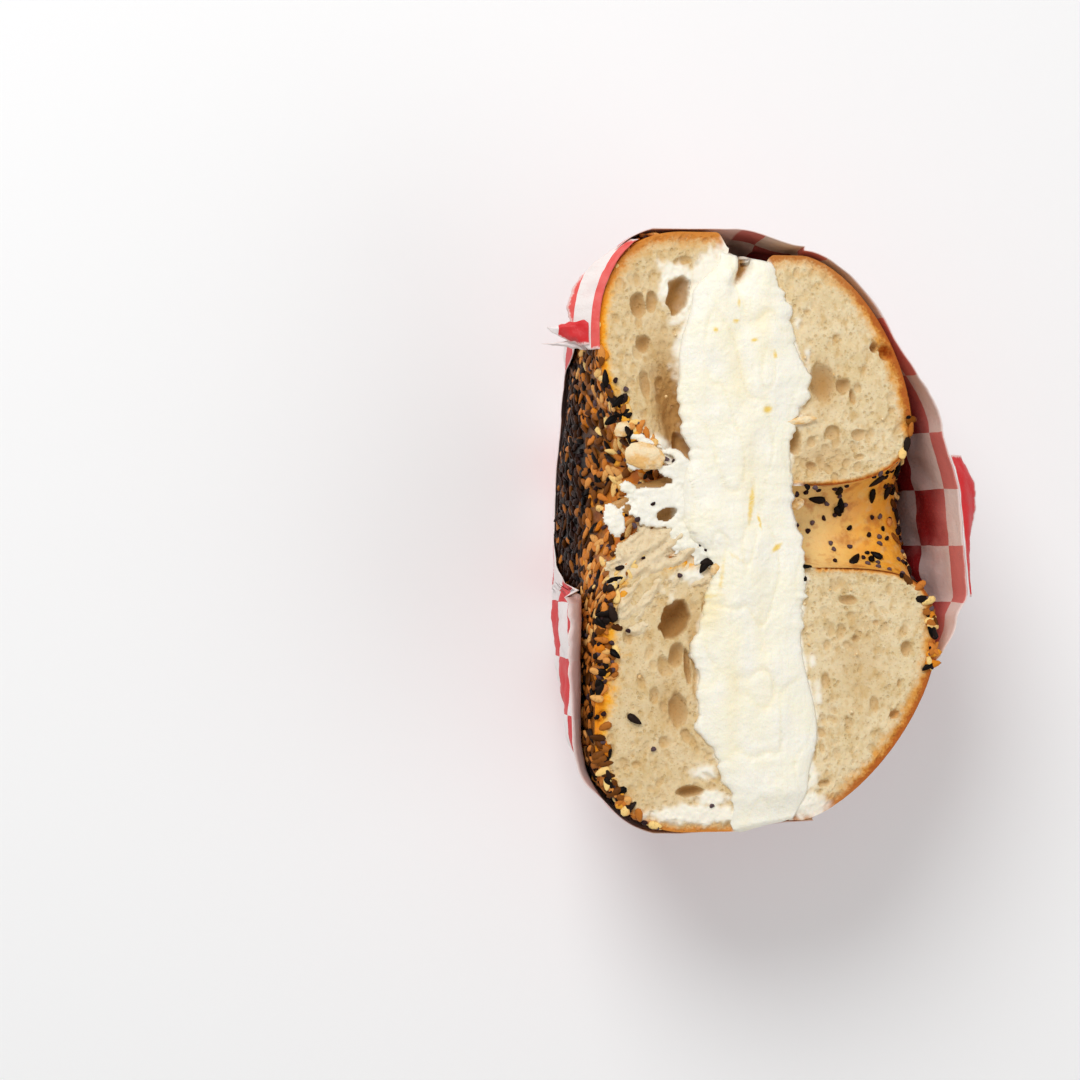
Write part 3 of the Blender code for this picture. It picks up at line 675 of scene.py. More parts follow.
def pouch():
    bm, across, y, w = half_disc(*PAPER_CELLS)
    bm.verts.index_update()
    top = {face for face in bm.faces if all(w[vertex.index] < 1e-6 for vertex in face.verts)}
    kept = np.array([vertex.index for vertex in bm.verts if not top.issuperset(vertex.link_faces)])
    part = np.clip(np.hypot(y, w), 0, 1)
    wall = abs(across) > 0.999
    first, last = [math.asin(drop / ARMS[CROWN][0][2]) for drop in END_DROPS]
    angle = first + np.arctan2(w, y) * (math.pi - first - last) / math.pi
    rim = rim_radius(across, angle)
    radius = np.where(wall, rim * np.sin(part * math.pi / 2), rim)
    y, depth = radius * np.cos(angle), radius * np.sin(angle)
    deepest = np.sqrt(np.maximum(rim**2 - y * y, 0.0))
    start = abs(y) * np.sin(np.where(y > 0, first, last))
    flat = np.zeros(len(y))
    ragged = 0.5 * abs(swell(flat + 3, y, flat, 4.0)) + 0.5 * abs(swell(flat, y, flat + 3, 1.1))
    torn = np.where(across > 0, along(TEARS[BASE], y), along(TEARS[CROWN], y))
    torn = np.minimum(torn + ragged * np.where(torn > 1.5, 3.0, 1.0), 0.8 * deepest)
    left = 1 - torn / np.maximum(deepest, 1.0)
    depth = np.where(wall, torn + depth * left, depth + ragged * bell(depth, 3.0))
    low = CROWN_SPLIT - LIP - CROWN_GAP
    high = BASE_SPLIT + LIP + BASE_GAP
    x = np.where(wall, np.where(across > 0, wall_x(BASE, y, depth), wall_x(CROWN, y, depth)),
                 low + (high - low) * (across + 1) / 2)
    from_edge = depth - start - np.where(wall, torn, ragged)
    loose = 0.15 + 0.85 * smooth((from_edge - 3) / 18)
    fold = crumple(x, y, depth) * loose
    pleat = 0.8 * abs(np.sin(9 * angle)) * bell(part - 0.85, 0.12) * loose
    round_rim = np.column_stack([rim * angle, x])
    down_wall = np.column_stack([y + PRINT_SHIFT[0], depth * PRINT_SQUEEZE + PRINT_SHIFT[1]])
    x = x + np.where(wall, across * (fold + pleat), 0.0)
    y = y + np.where(wall, 0.0, fold * np.cos(angle))
    depth = depth + np.where(wall, 0.0, fold * np.sin(angle))
    places = np.stack([x + AXIS_X, y, pressed(CUT_HEIGHT - depth)], axis=-1)
    bmesh.ops.delete(bm, geom=list(top), context="FACES")
    # Marks the crown's wall, whose inside is painted paler: partly fading, partly painted light.
    faded = np.where(across < 0, 1.0, 0.0)
    obj = finished_object("paper_pouch", bm, places[kept], from_edge=from_edge[kept], faded=faded[kept])
    uv_from(obj, round_rim[kept], down_wall[kept], wall[kept])
    return obj


wrap = pouch()
thicken(wrap, 1.0)

# %% [markdown]
# The sheet went round more than once, so loose bits show beyond the torn edge: a flap folded over the edge
# of the base's wall, and a worn fold and two curls at the top of the crown's wall. Each starts as a grid.
# One side of the grid follows a line, and the other is pushed away from it by a width that changes along
# the line.

# %% Loose bits of paper
# Each is its name, its wall, the two ends along Y, its widths from one end to the other, the outward share
# of a width, the depth where it starts, its droop, the shift of its print, how fast the print runs along it
# and across it, and how far inside the wall it starts
LOOSE_BITS = [
    ("paper_flap", BASE, (14.8, -12.4), (3.4, 4.8, 4.2, 2.2, 1.2, 1.0),
     0.92, -0.3, 2.6, 14.0, (0.25, 1.15), 0.0),
    ("paper_fold_high", CROWN, (55.4, 34.5), (1.6, 4.0, 5.8, 6.2, 5.0, 2.0),
     0.95, -0.2, 1.8, 5.0, (0.3, 3.5), 1.9),
    ("paper_curl_low", CROWN, (40.4, 35.4), (1.6, 7.8, 5.4, 1.4), 0.93, 0.8, 1.6, 20.0, (0.5, 1.0), 0.0),
    ("paper_curl_high", CROWN, (36.4, 34.6), (0.8, 8.6, 3.4, 0.8), 0.93, 3.6, 0.3, 14.0, (0.3, 0.5), 0.0),
]
BIT_CELLS = (70, 24)


def loose_bit(name, side, ends, widths, outward, start_depth, droop, shift, print_speed, inset):
    bm = bmesh.new()
    bmesh.ops.create_grid(bm, x_segments=BIT_CELLS[0], y_segments=BIT_CELLS[1], size=1.0)
    flat = vertex_array(bm)
    u, v = (flat[:, 0] + 1) / 2, (flat[:, 1] + 1) / 2
    zero = np.zeros(len(u))
    y = ends[0] + (ends[1] - ends[0]) * u
    width = np.interp(u, np.linspace(0, 1, len(widths)), widths)
    ragged = 0.25 * swell(y, zero + shift, zero, 1.3) + 0.12 * swell(y, zero + shift, zero, 0.5)
    reach = v * (width + ragged * v)
    line_x = wall_x(side, y, zero + max(start_depth, 0.0)) + side * (0.25 - inset)
    ripple = 0.35 * np.sin(v * 7 + y * 0.35 + shift) * v + 0.3 * swell(y, reach, zero + shift, 2.2)
    x = line_x + side * reach * outward
    depth = start_depth + droop * v * v + reach * math.sqrt(1 - outward**2) + ripple
    y = y + 0.25 * swell(zero + shift, reach, y, 1.2)
    places = np.stack([x + AXIS_X, y, CUT_HEIGHT - depth], axis=-1)
    from_edge = np.minimum(np.minimum(u, 1 - u) * abs(ends[1] - ends[0]), (1 - v) * width)
    obj = finished_object(name, bm, places, from_edge=from_edge, faded=zero)
    uv_from(obj, np.column_stack([y * print_speed[0] + shift, reach * print_speed[1] + 5.0]))
    thicken(obj, 1.0)
    return obj


layers = [loose_bit(*values) for values in LOOSE_BITS]

# %% [markdown]
# ## Seeds and flakes
#
# The topping of this kind of bagel is white sesame, black sesame, poppy seed and dried onion or garlic,
# baked on so densely that the crown is hardly seen. One seed of each kind is shaped from a sphere with few
# faces. Its copies are laid on the crust by darts thrown at the dough's own form and kept only where there
# is room.

# %% Where a seed can lie on the crust
THROWS_PER_SEED = 14
SEARCH_STEPS = (90, 240)


def crust_frames(side, over, angle):
    """Points on the crust with the directions round the ring and outward, and the size of each patch."""
    step = 0.004
    here = dough_point(side, 1.0 + 0 * over, over, angle)
    ahead = dough_point(side, 1.0 + 0 * over, over, angle + step) - here
    higher = dough_point(side, 1.0 + 0 * over, over + step, angle) - here
    normal = np.cross(higher, ahead) * -side
    area = np.linalg.norm(normal, axis=1)
    normal /= np.maximum(area, 1e-12)[:, None]
    round_way = ahead / np.linalg.norm(ahead, axis=1)[:, None]
    return here, round_way, normal, area


def thrown_seeds(side, rng, count, room, over_range, angle_range, taken):
    """Random places on part of the crust that are at least this far from the seeds already there."""
    throws = count * THROWS_PER_SEED
    over = rng.uniform(*over_range, throws)
    angle = rng.uniform(*angle_range, throws)
    here, round_way, normal, area = crust_frames(side, over, angle)
    fair = rng.uniform(0, 1, throws) < area / area.max()
    kept = []
    for index in np.flatnonzero(fair & (here[:, 2] < CUT_HEIGHT - 0.5)):
        place = here[index]
        cell = tuple((place // room).astype(int))
        near = [taken.get((cell[0] + i, cell[1] + j, cell[2] + k), ())
                for i in (-1, 0, 1) for j in (-1, 0, 1) for k in (-1, 0, 1)]
        if all(np.sum((place - other) ** 2) > room * room for group in near for other in group):
            taken.setdefault(cell, []).append(place)
            kept.append(index)
        if len(kept) == count:
            break
    return here[kept], round_way[kept], normal[kept]


def crust_at(side, x, y):
    """The shallowest place of the crust that lies under this place of the photo's view."""
    grids = np.meshgrid(np.linspace(-1, 0.9, SEARCH_STEPS[0]), np.linspace(0.02, 3.12, SEARCH_STEPS[1]))
    over, angle = [grid.ravel() for grid in grids]
    here, round_way, normal, _ = crust_frames(side, over, angle)
    away = np.hypot(here[:, 0] - AXIS_X - x, here[:, 1] - y) + 0.02 * (CUT_HEIGHT - here[:, 2])
    best = [int(np.argmin(away))]
    return here[best], round_way[best], normal[best]


def on_face(x, y, height=0.3):
    """A place on the level sawn face."""
    here = np.array([[x + AXIS_X, y, CUT_HEIGHT + height]])
    return here, np.array([[0.0, 1.0, 0.0]]), np.array([[0.0, 0.0, 1.0]])


def joined(groups):
    return [np.concatenate(parts) for parts in zip(*groups)]


# %% One seed of each kind, and its copies as one joined mesh
LEAN_SPREAD = 0.22
SIZE_SPREAD = (0.84, 1.14)


def seed_shape(sides, rings, half_size, taper, bend=0.0):
    """A sphere drawn out to a seed: pointed at one end and, if bent, kidney-shaped."""
    bm = bmesh.new()
    turn = Matrix.Rotation(math.pi / 2, 4, "Y")
    bmesh.ops.create_uvsphere(bm, u_segments=sides, v_segments=rings, radius=1.0, matrix=turn)
    for vertex in bm.verts:
        x, y, z = vertex.co
        width = 1 - taper * (x + 1) / 2
        bent = y * width + bend * (x * x - 0.5)
        vertex.co = (x * half_size[0], bent * half_size[1], z * width * half_size[2])
    bmesh.ops.recalc_face_normals(bm, faces=bm.faces)
    mesh = bpy.data.meshes.new("one_seed")
    bm.to_mesh(mesh)
    bm.free()
    corners = np.array([vertex.co for vertex in mesh.vertices])
    faces = [tuple(face.vertices) for face in mesh.polygons]
    bpy.data.meshes.remove(mesh)
    return corners, faces


def sown(name, shape, places, rng, sink, tone, roughen=0.0):
    """Copies of a seed at these places, each turned, tilted and sized a little differently."""
    corners, faces = shape
    here, round_way, normal = places
    count = len(here)
    spin = rng.uniform(0, 2 * math.pi, count)[:, None]
    side_way = np.cross(normal, round_way)
    lean = normal + rng.normal(0, LEAN_SPREAD, (count, 3))
    lean /= np.linalg.norm(lean, axis=1)[:, None]
    length_way = round_way * np.cos(spin) + side_way * np.sin(spin)
    length_way -= lean * np.sum(length_way * lean, axis=1)[:, None]
    length_way /= np.linalg.norm(length_way, axis=1)[:, None]
    width_way = np.cross(lean, length_way)
    size = rng.uniform(*SIZE_SPREAD, (count, 1, 3))
    local = corners[None] * size
    if roughen:
        local = local * (1 + rng.normal(0, roughen, (count, len(corners), 1)))
    axes = np.stack([length_way, width_way, lean], axis=1)
    vertices = local @ axes + (here + normal * sink)[:, None]
    steps = np.arange(count) * len(corners)
    copies = [tuple(corner + int(step) for corner in face) for step in steps for face in faces]
    mesh = bpy.data.meshes.new(name)
    mesh.from_pydata((vertices.reshape(-1, 3) * MM).tolist(), [], copies)
    write_values(mesh, "tone", np.repeat(tone, len(corners)))
    mesh.polygons.foreach_set("use_smooth", [True] * len(mesh.polygons))
    mesh.update()
    obj = bpy.data.objects.new(name, mesh)
    bpy.context.scene.collection.objects.link(obj)
    print(f"{name}: {count} seeds, {len(mesh.polygons)} faces")
    return obj


SESAME = seed_shape(8, 5, (1.6, 0.98, 0.56), 0.5)
BLACK_SESAME = seed_shape(8, 5, (1.7, 1.05, 0.64), 0.55)
POPPY = seed_shape(6, 4, (0.62, 0.5, 0.46), 0.1, 0.35)
ONION = seed_shape(7, 4, (1.5, 1.05, 0.4), 0.2, 0.25)

# %% Sow the crown and the base
# Onion, black sesame, white sesame and poppy on the crown: how many, their room and where over the section
CROWN_SOWING = [
    (110, 2.6, (-0.9, 0.8)), (230, 1.75, (-1.0, 0.9)), (1250, 1.35, (-0.95, 0.86)), (900, 0.72, (-1.0, 0.92)),
]
HALF_TURN = (0.03, math.pi - 0.03)
rng = np.random.default_rng(24)
taken = {}
onion_places, black_places, white_places, poppy_places = [
    thrown_seeds(CROWN, rng, count, room, where, HALF_TURN, taken) for count, room, where in CROWN_SOWING]
taken = {}
BASE_BLACKS = [
    (10.5, 6.3), (14.8, 10.9), (16.2, 11.6), (14.4, 8.0), (15.4, 5.1), (15.0, 3.9), (22.3, 9.9), (22.1, 7.0),
    (17.6, -5.6), (22.6, -4.6), (21.6, -5.2), (6.0, -8.4),
]
base_black = joined([crust_at(BASE, *place) for place in BASE_BLACKS]
                    + [thrown_seeds(BASE, rng, 34, 1.9, (-0.5, 0.12), (0.35, 2.5), taken)]
                    + [thrown_seeds(BASE, rng, 16, 4.0, (0.1, 0.9), HALF_TURN, taken)])
base_white = thrown_seeds(BASE, rng, 46, 1.7, (-0.5, 0.1), (0.35, 2.5), taken)
base_poppy = joined([thrown_seeds(BASE, rng, 58, 1.3, (-1.0, -0.3), (0.05, 3.0), taken),
                     thrown_seeds(BASE, rng, 60, 0.9, (-0.45, 0.15), (0.35, 2.5), taken)])
# Single seeds that lie on the sawn faces, X and Y
FACE_BLACKS = [
    (-26.4, -35.4), (-4.3, -50.5), (-12.2, -5.6), (-12.9, -6.4), (-30.2, -23.0), (-30.6, -15.4), (5.8, -9.2),
    (-31.0, 21.0), (-29.6, 24.6), (-27.8, 19.4),
]
FACE_POPPIES = [
    (-22.7, -41.1), (-11.4, -52.0), (-27.6, -18.7), (-13.6, -2.4), (-17.6, -8.2), (-28.0, 27.0), (-30.0, 28.6),
    (-28.8, 25.2), (-12.4, -3.2), (-30.6, -26.0), (-22.8, 5.4), (5.2, 7.2), (7.2, 8.6), (8.8, 8.4),
    (-25.8, 2.4), (-26.4, 1.2),
]

# %% How dark each seed is, baked and in painted shade
# The crown is baked dark and painted nearly black with shade between these two places along Y, beyond this X
# and below this depth
DARK_FROM, DARK_TO, DARK_FADE = 40.0, -50.0, 6.0
SHOULDER, SHOULDER_FADE = -27.0, 13.0
DARK_DEPTH, DEPTH_FADE = 10.0, 16.0


def toasted_and_shaded(rng, places, deep):
    """A tone from 0, dark, to 1, pale. Seeds low on the crown and out on its side are darker: partly baked
    darker, partly painted shade.
    """
    depth = CUT_HEIGHT - places[0][:, 2]
    x, y = places[0][:, 0], places[0][:, 1]
    dark_band = smooth((DARK_FROM - y) / DARK_FADE) * smooth((y - DARK_TO) / DARK_FADE)
    outside = smooth((SHOULDER - x) / SHOULDER_FADE)
    shaded = np.maximum(outside, smooth((depth - DARK_DEPTH) / DEPTH_FADE)) * (x < AXIS_X) * dark_band
    deep = np.where(rng.uniform(0, 1, len(depth)) < 0.25, 0.5 * deep, deep)
    return np.clip(rng.beta(0.9, 1.0, len(depth)) * (1 - deep * shaded) + 0.08 * (1 - shaded), 0, 1)


# %% Seeds along the edges of the sawn faces
def rim_seeds(rng, side, count, low_y, high_y, width):
    """Seeds that the saw pushed onto the edge of a sawn face, within this width of the crust."""
    y = rng.uniform(low_y, high_y, count)
    angle = np.where(y > 0, 0.0, math.pi)
    over = np.zeros(count)
    for _ in range(30):
        here = dough_point(side, np.ones(count), over, angle)
        over = np.clip(over + (abs(y) - abs(here[:, 1])) / 26, -1, 1)
    here[:, 0] -= side * rng.uniform(0.2, width + 0.5, count)
    here[:, 2] = CUT_HEIGHT - 0.35
    normal = np.array([0.3 * side, 0.0, 0.95]) + np.zeros((count, 3))
    return here, np.array([0.0, 1.0, 0.0]) + np.zeros((count, 3)), normal


# Side, how many, from Y, to Y and width
RIM_SEEDS = [
    (CROWN, 26, -46, -6, 1.4), (CROWN, 12, -30, -12, 3.2), (CROWN, 14, 12, 26, 2.4), (CROWN, 3, 26, 34, 0.6),
    (CROWN, 12, -56, -47, 1.0), (BASE, 10, -26, -8, 0.9), (BASE, 2, 14, 22, 0.3),
]
rim_white, rim_onion, rim_poppy, rim_black = [
    joined([rim_seeds(rng, side, max(1, int(count * share)), *values) for side, count, *values in RIM_SEEDS])
    for share in (1.0, 0.4, 1.2, 0.4)]
# The rim of the trough in the base is thick with white sesame, black sesame and poppy: how many and their
# room
TROUGH_SOWING = [(60, 1.5), (46, 1.6), (90, 0.9)]
trough_white, trough_black, trough_poppy = [
    thrown_seeds(BASE, rng, count, room, (-0.12, 0.3), (0.4, 2.2), taken) for count, room in TROUGH_SOWING]

# %% One joined mesh for each kind of seed
white = joined([white_places, base_white, rim_white, trough_white])
sesame = sown("sesame_seeds", SESAME, white, rng, 0.18, toasted_and_shaded(rng, white, 0.94))
face_black = [on_face(*place) for place in FACE_BLACKS]
black = joined([black_places, base_black, rim_black, trough_black] + face_black)
black_sesame = sown("black_sesame_seeds", BLACK_SESAME, black, rng, 0.2, rng.uniform(0, 1, len(black[0])))
face_poppy = [on_face(*place, 0.2) for place in FACE_POPPIES]
poppy = joined([poppy_places, base_poppy, rim_poppy, trough_poppy] + face_poppy)
poppy_seeds = sown("poppy_seeds", POPPY, poppy, rng, 0.12, toasted_and_shaded(rng, poppy, 0.9))
onion = joined([onion_places, rim_onion])
onion_flakes = sown("onion_flakes", ONION, onion, rng, 0.1, toasted_and_shaded(rng, onion, 0.9), 0.08)

# %% [markdown]
# ## Torn bits
#
# The saw tore off scraps of crumb and left them on the face: two at the mouth of the hole, a few along the
# filling's edges and small crumbs all over. Each is a small sphere roughened by noise.

# %% Scraps and crumbs
# Each scrap is X, Y, height, half length, half width, half thickness and turn in degrees
SCRAPS = [
    (-24.4, 14.3, 0.5, 3.9, 2.5, 1.1, -12), (-10.8, -7.0, 0.7, 1.3, 0.9, 0.7, 60),
    (6.2, 21.3, 0.7, 2.9, 0.7, 0.4, 8), (-28.6, 19.4, 0.1, 1.7, 1.3, 0.7, 40),
    (-10.2, -9.6, 0.5, 1.6, 0.8, 0.6, 80), (5.6, 5.4, -1.6, 1.5, 1.1, 0.8, 20),
]
LOOSE_CRUMBS = 20


def scraps():
    bm = bmesh.new()
    rng = np.random.default_rng(3)
    crumbs = [
        (rng.uniform(-30, 24), rng.uniform(-52, 52), 0.1, *rng.uniform(0.18, 0.36, 3), rng.uniform(0, 180))
        for _ in range(LOOSE_CRUMBS)]
    crumbs = [crumb for crumb in crumbs if abs(crumb[1] - 2) > 13]
    for x, y, height, length, width, thick, turn in SCRAPS + crumbs:
        detail = 4 if length > 1 else 2
        made = bmesh.ops.create_icosphere(bm, subdivisions=detail, radius=1.0)["verts"]
        turned = Matrix.Rotation(math.radians(turn), 4, "Z")
        place = Matrix.Translation((x + AXIS_X, y, CUT_HEIGHT + height)) @ turned
        for vertex in made:
            broad, fine = noise.noise(vertex.co * 1.6 + Vector((x, y, 0))), noise.noise(vertex.co * 5)
            rough = 1 + 0.20 * broad + 0.05 * fine
            shaped = [value * half * rough for value, half in zip(vertex.co, (length, width, thick))]
            vertex.co = place @ Vector(shaped)
    places = vertex_array(bm)
    return finished_object("torn_bits", bm, places)


bits = scraps()

# %% [markdown]
# ## Writing materials as sums
#
# A node tree is easier to read as arithmetic. `Wire` wraps a socket, so that `1 - mask` adds its Math node by
# itself. `Finish` holds one material and has a single method that makes any other node.

# %% Wires and finishes
class Wire:
    """A socket that can be used in sums with numbers and other wires."""

    def __init__(self, finish, socket):
        self.finish = finish
        self.socket = socket

    def sum(self, operation, first, second):
        return self.finish.node("ShaderNodeMath", {"operation": operation}, {0: first, 1: second})

    def __add__(self, other):
        return self.sum("ADD", self, other)

    __radd__ = __add__

    def __sub__(self, other):
        return self.sum("SUBTRACT", self, other)

    def __rsub__(self, other):
        return self.sum("SUBTRACT", other, self)

    def __mul__(self, other):
        return self.sum("MULTIPLY", self, other)

    __rmul__ = __mul__


def tint(red, green, blue):
    """A screen colour from 0 to 255, as the linear colour that Blender wants."""
    linear = [((value / 255 + 0.055) / 1.055) ** 2.4 if value > 10 else value / 3294
              for value in (red, green, blue)]
    return (*linear, 1.0)


class Finish:
    """A material under construction."""

    def __init__(self, name, roughness=0.6, subsurface=0.0, glow=(1.0, 0.6, 0.3), depth=0.0015, shine=0.5):
        self.material = bpy.data.materials.new(name)
        self.material.use_nodes = True
        self.tree = self.material.node_tree
        self.shader = self.tree.nodes["Principled BSDF"]
        self.shader.inputs["Roughness"].default_value = roughness
        self.shader.inputs["Specular IOR Level"].default_value = shine
        self.shader.inputs["Subsurface Weight"].default_value = subsurface
        self.shader.inputs["Subsurface Radius"].default_value = glow
        self.shader.inputs["Subsurface Scale"].default_value = depth
        spot = self.node("ShaderNodeTexCoord", output="Object")
        self.place = self.node("ShaderNodeVectorMath", {"operation": "SCALE"}, {0: spot, "Scale": 1 / MM})

    def feed(self, socket, value):
        if isinstance(value, Wire):
            self.tree.links.new(value.socket, socket)
        else:
            socket.default_value = value

    def node(self, kind, settings=None, sockets=None, output=0):
        made = self.tree.nodes.new(kind)
        for name, value in (settings or {}).items():
            setattr(made, name, value)
        for name, value in (sockets or {}).items():
            self.feed(made.inputs[name], value)
        return Wire(self, made.outputs[output])

    def blend(self, share, first, second):
        """first where share is 0 and second where it is 1."""
        return self.node("ShaderNodeMix", {"data_type": "RGBA"}, {0: share, 6: first, 7: second}, 2)

    def step(self, value, low, high):
        """0 below low, 1 above high, soft between."""
        return self.node("ShaderNodeMapRange", {"interpolation_type": "SMOOTHSTEP"},
                         {"Value": value, "From Min": low, "From Max": high})

    def kept(self, name):
        """A number that the mesh keeps for each vertex."""
        return self.node("ShaderNodeAttribute", {"attribute_name": name}, output="Fac")

    def swell(self, size, detail=2.0, stretch=None):
        """Noise from 0 to 1 whose bumps are about this size, in millimetres."""
        spot = self.place
        if stretch:
            spot = self.node("ShaderNodeVectorMath", {"operation": "MULTIPLY"}, {0: spot, 1: stretch})
        return self.node("ShaderNodeTexNoise", {}, {"Vector": spot, "Scale": 1 / size, "Detail": detail})

    def cells(self, size):
        """How far each place is from the middle of its cell, for cells of about this size."""
        return self.node("ShaderNodeTexVoronoi", {"feature": "F1"}, {"Vector": self.place, "Scale": 1 / size})

    def coordinate(self, axis):
        """X, Y or Z in millimetres."""
        return self.node("ShaderNodeSeparateXYZ", {}, {0: self.place}, axis)

    def finish(self, colour, relief=None, depth_mm=0.3, roughness=None):
        self.feed(self.shader.inputs["Base Color"], colour)
        if roughness is not None:
            self.feed(self.shader.inputs["Roughness"], roughness)
        if relief is not None:
            heights = {"Height": relief, "Distance": depth_mm * MM, "Strength": 1.0}
            bump = self.node("ShaderNodeBump", {}, heights)
            self.feed(self.shader.inputs["Normal"], bump)
        return self.material


# %% [markdown]
# ## Bread
#
# The sawn face is cream crumb that turns golden, then brown, towards the crust. The fine sponge is two
# layers of small cells, sunk and painted darker with shade. Pockets and valleys are painted darker too, which
# is painted shade. The crust is golden on the base and at both ends of the half, where the ring was shielded.
# On the crown's side it is baked dark and painted nearly black with shade. One function makes both, from the
# mesh's own values.

# %% Crumb and crust
CHEESE_TINT = tint(255, 249, 233)
# Shielded beyond these two places along Y, over these distances
SHIELD_HIGH, SHIELD_HIGH_END = 40.0, 52.0
SHIELD_LOW, SHIELD_LOW_END = -45.0, -53.0


def bread_finish(name, side, warmth, skins, toasts, dark_way, dark_from, dark_to):
    """Crumb where the bread was sawn, crust elsewhere. It darkens between two distances along dark_way."""
    skin_pale, skin_light, skin_mid, skin_dark = skins
    f = Finish(name, 0.7, 0.10, (1.0, 0.6, 0.35), 0.0012, 0.3)
    rind, hollow, film, sawn = f.kept("rind"), f.kept("hollow"), f.kept("film"), f.kept("sawn")
    broad, patchy, fine = f.swell(7.0, 3.0), f.swell(2.2, 3.0), f.swell(0.5, 3.0)
    wide_cells, small_cells = f.cells(1.15), f.cells(0.55)
    sparse = f.step(f.swell(3.5), 0.42, 0.6)
    wide_pores = (1 - f.step(wide_cells, 0.16, 0.36)) * sparse
    small_pores = 1 - f.step(small_cells, 0.12, 0.34)
    crumb = f.blend(f.step(broad, 0.3, 0.7), tint(238, 217, 176), tint(226, 201, 152))
    crumb = f.blend(f.step(patchy, 0.35, 0.75) * 0.6, crumb, tint(242, 226, 190))
    crumb = f.blend(f.step(fine, 0.5, 0.75) * 0.4, crumb, tint(250, 235, 202))
    streaky = f.swell(1.5, 4.0, stretch=(1.0, 0.5, 1.0))
    crumb = f.blend(f.step(streaky, 0.48, 0.72) * 0.6, crumb, tint(206, 168, 104))
    # The sunk sponge cells are painted darker: painted shade in them.
    crumb = f.blend(wide_pores * 0.6, crumb, tint(200, 164, 106))
    crumb = f.blend(small_pores * 0.32, crumb, tint(205, 170, 114))
    crumb = f.blend(warmth, crumb, tint(206, 166, 104))
    # Pockets, valleys and torn fibres are painted darker the deeper they are: painted shade in the hollows.
    crumb = f.blend(f.step(hollow, 0.05, 0.7) * 0.45, crumb, tint(204, 164, 104))
    crumb = f.blend(f.step(hollow, 0.5, 2.8) * 0.95, crumb, tint(180, 134, 74))
    along_y = f.coordinate(1)
    shielded = f.step(along_y, SHIELD_HIGH, SHIELD_HIGH_END) + 1 - f.step(along_y, SHIELD_LOW_END, SHIELD_LOW)
    toast = 1 - f.step(rind + (patchy - 0.5) * 1.2 + (fine - 0.5) * 0.4, 0.3, 1.2)
    crumb = f.blend(toast * (1 - shielded * 0.25), crumb, f.blend(shielded, toasts[0], tint(222, 168, 98)))
    browned = 1 - f.step(rind + (patchy - 0.5) * 0.7 + (fine - 0.5) * 0.6, 0.15, 0.6)
    crumb = f.blend(browned, crumb, f.blend(shielded * 0.7, toasts[1], tint(196, 128, 62)))
    crumb = f.blend(film * 0.9, crumb, CHEESE_TINT)
    # The crust is painted dark along dark_way: on the crown's side this is baked crust and painted shade, on
    # the base it is darker further down.
    beyond = f.coordinate(0) * dark_way[0] + (CUT_HEIGHT - f.coordinate(2)) * dark_way[1]
    dark_band = f.step(along_y, DARK_TO, DARK_TO + DARK_FADE)
    dark_band = dark_band * (1 - f.step(along_y, DARK_FROM - DARK_FADE, DARK_FROM))
    darker = f.step(beyond + (patchy - 0.5) * 3.0, dark_from, dark_to) * dark_band
    skin = f.blend(f.step(f.swell(3.0, 4.0), 0.35, 0.65), skin_light, skin_mid)
    skin = f.blend(1 - f.step(f.coordinate(0) * side + (patchy - 0.5) * 6.0, 6.0, 26.0), skin, skin_pale)
    skin = f.blend(f.step(patchy, 0.5, 0.75) * 0.5, skin, skin_pale)
    skin = f.blend(f.step(f.swell(4.0, 5.0), 0.52, 0.68) * 0.6, skin, toasts[1])
    skin = f.blend(darker, skin, skin_dark)
    skin = f.blend(f.step(f.swell(1.2, 3.0), 0.55, 0.75) * 0.35, skin, skin_dark)
    skin = f.blend(film, skin, CHEESE_TINT)
    colour = f.blend(sawn, skin, crumb)
    sponge = (fine * 0.4 + patchy * 0.3 - wide_pores * 0.5 - small_pores * 0.25) * (1 - film * 0.8)
    relief = sponge * sawn + (f.swell(1.6, 4.0) + f.swell(5.0, 2.0)) * (1 - sawn)
    roughness = 0.38 + 0.44 * sawn * (1 - film) + 0.1 * patchy
    return f.finish(colour, relief, 0.24, roughness)


# The crown's darkest skin is baked crust and also stands in for the shade on its side: painted shade.
CROWN_SKINS = [tint(226, 168, 92), tint(236, 150, 44), tint(204, 108, 26), tint(26, 11, 5)]
BASE_SKINS = [tint(240, 208, 142), tint(250, 182, 66), tint(246, 166, 46), tint(196, 108, 32)]
CROWN_TOASTS = [tint(250, 178, 40), tint(238, 142, 14)]
BASE_TOASTS = [tint(230, 160, 66), tint(182, 96, 30)]
crown_finish = bread_finish(
    "Toasted and shaded seeded bread", CROWN, 0.30, CROWN_SKINS, CROWN_TOASTS, (-1.0, 0.25), 27.5, 37.0)
base_finish = bread_finish("Golden bread", BASE, 0.10, BASE_SKINS, BASE_TOASTS, (0.0, 1.0), 16.0, 44.0)


def crumb_finish(name):
    """Torn scraps: crumb with browned patches."""
    f = Finish(name, 0.8, 0.1, (1.0, 0.6, 0.35), 0.0012)
    patchy, fine = f.swell(2.4, 3.0), f.swell(0.5, 3.0)
    colour = f.blend(f.step(patchy, 0.40, 0.62), tint(250, 226, 184), tint(240, 190, 118))
    return f.finish(colour, fine, 0.3)
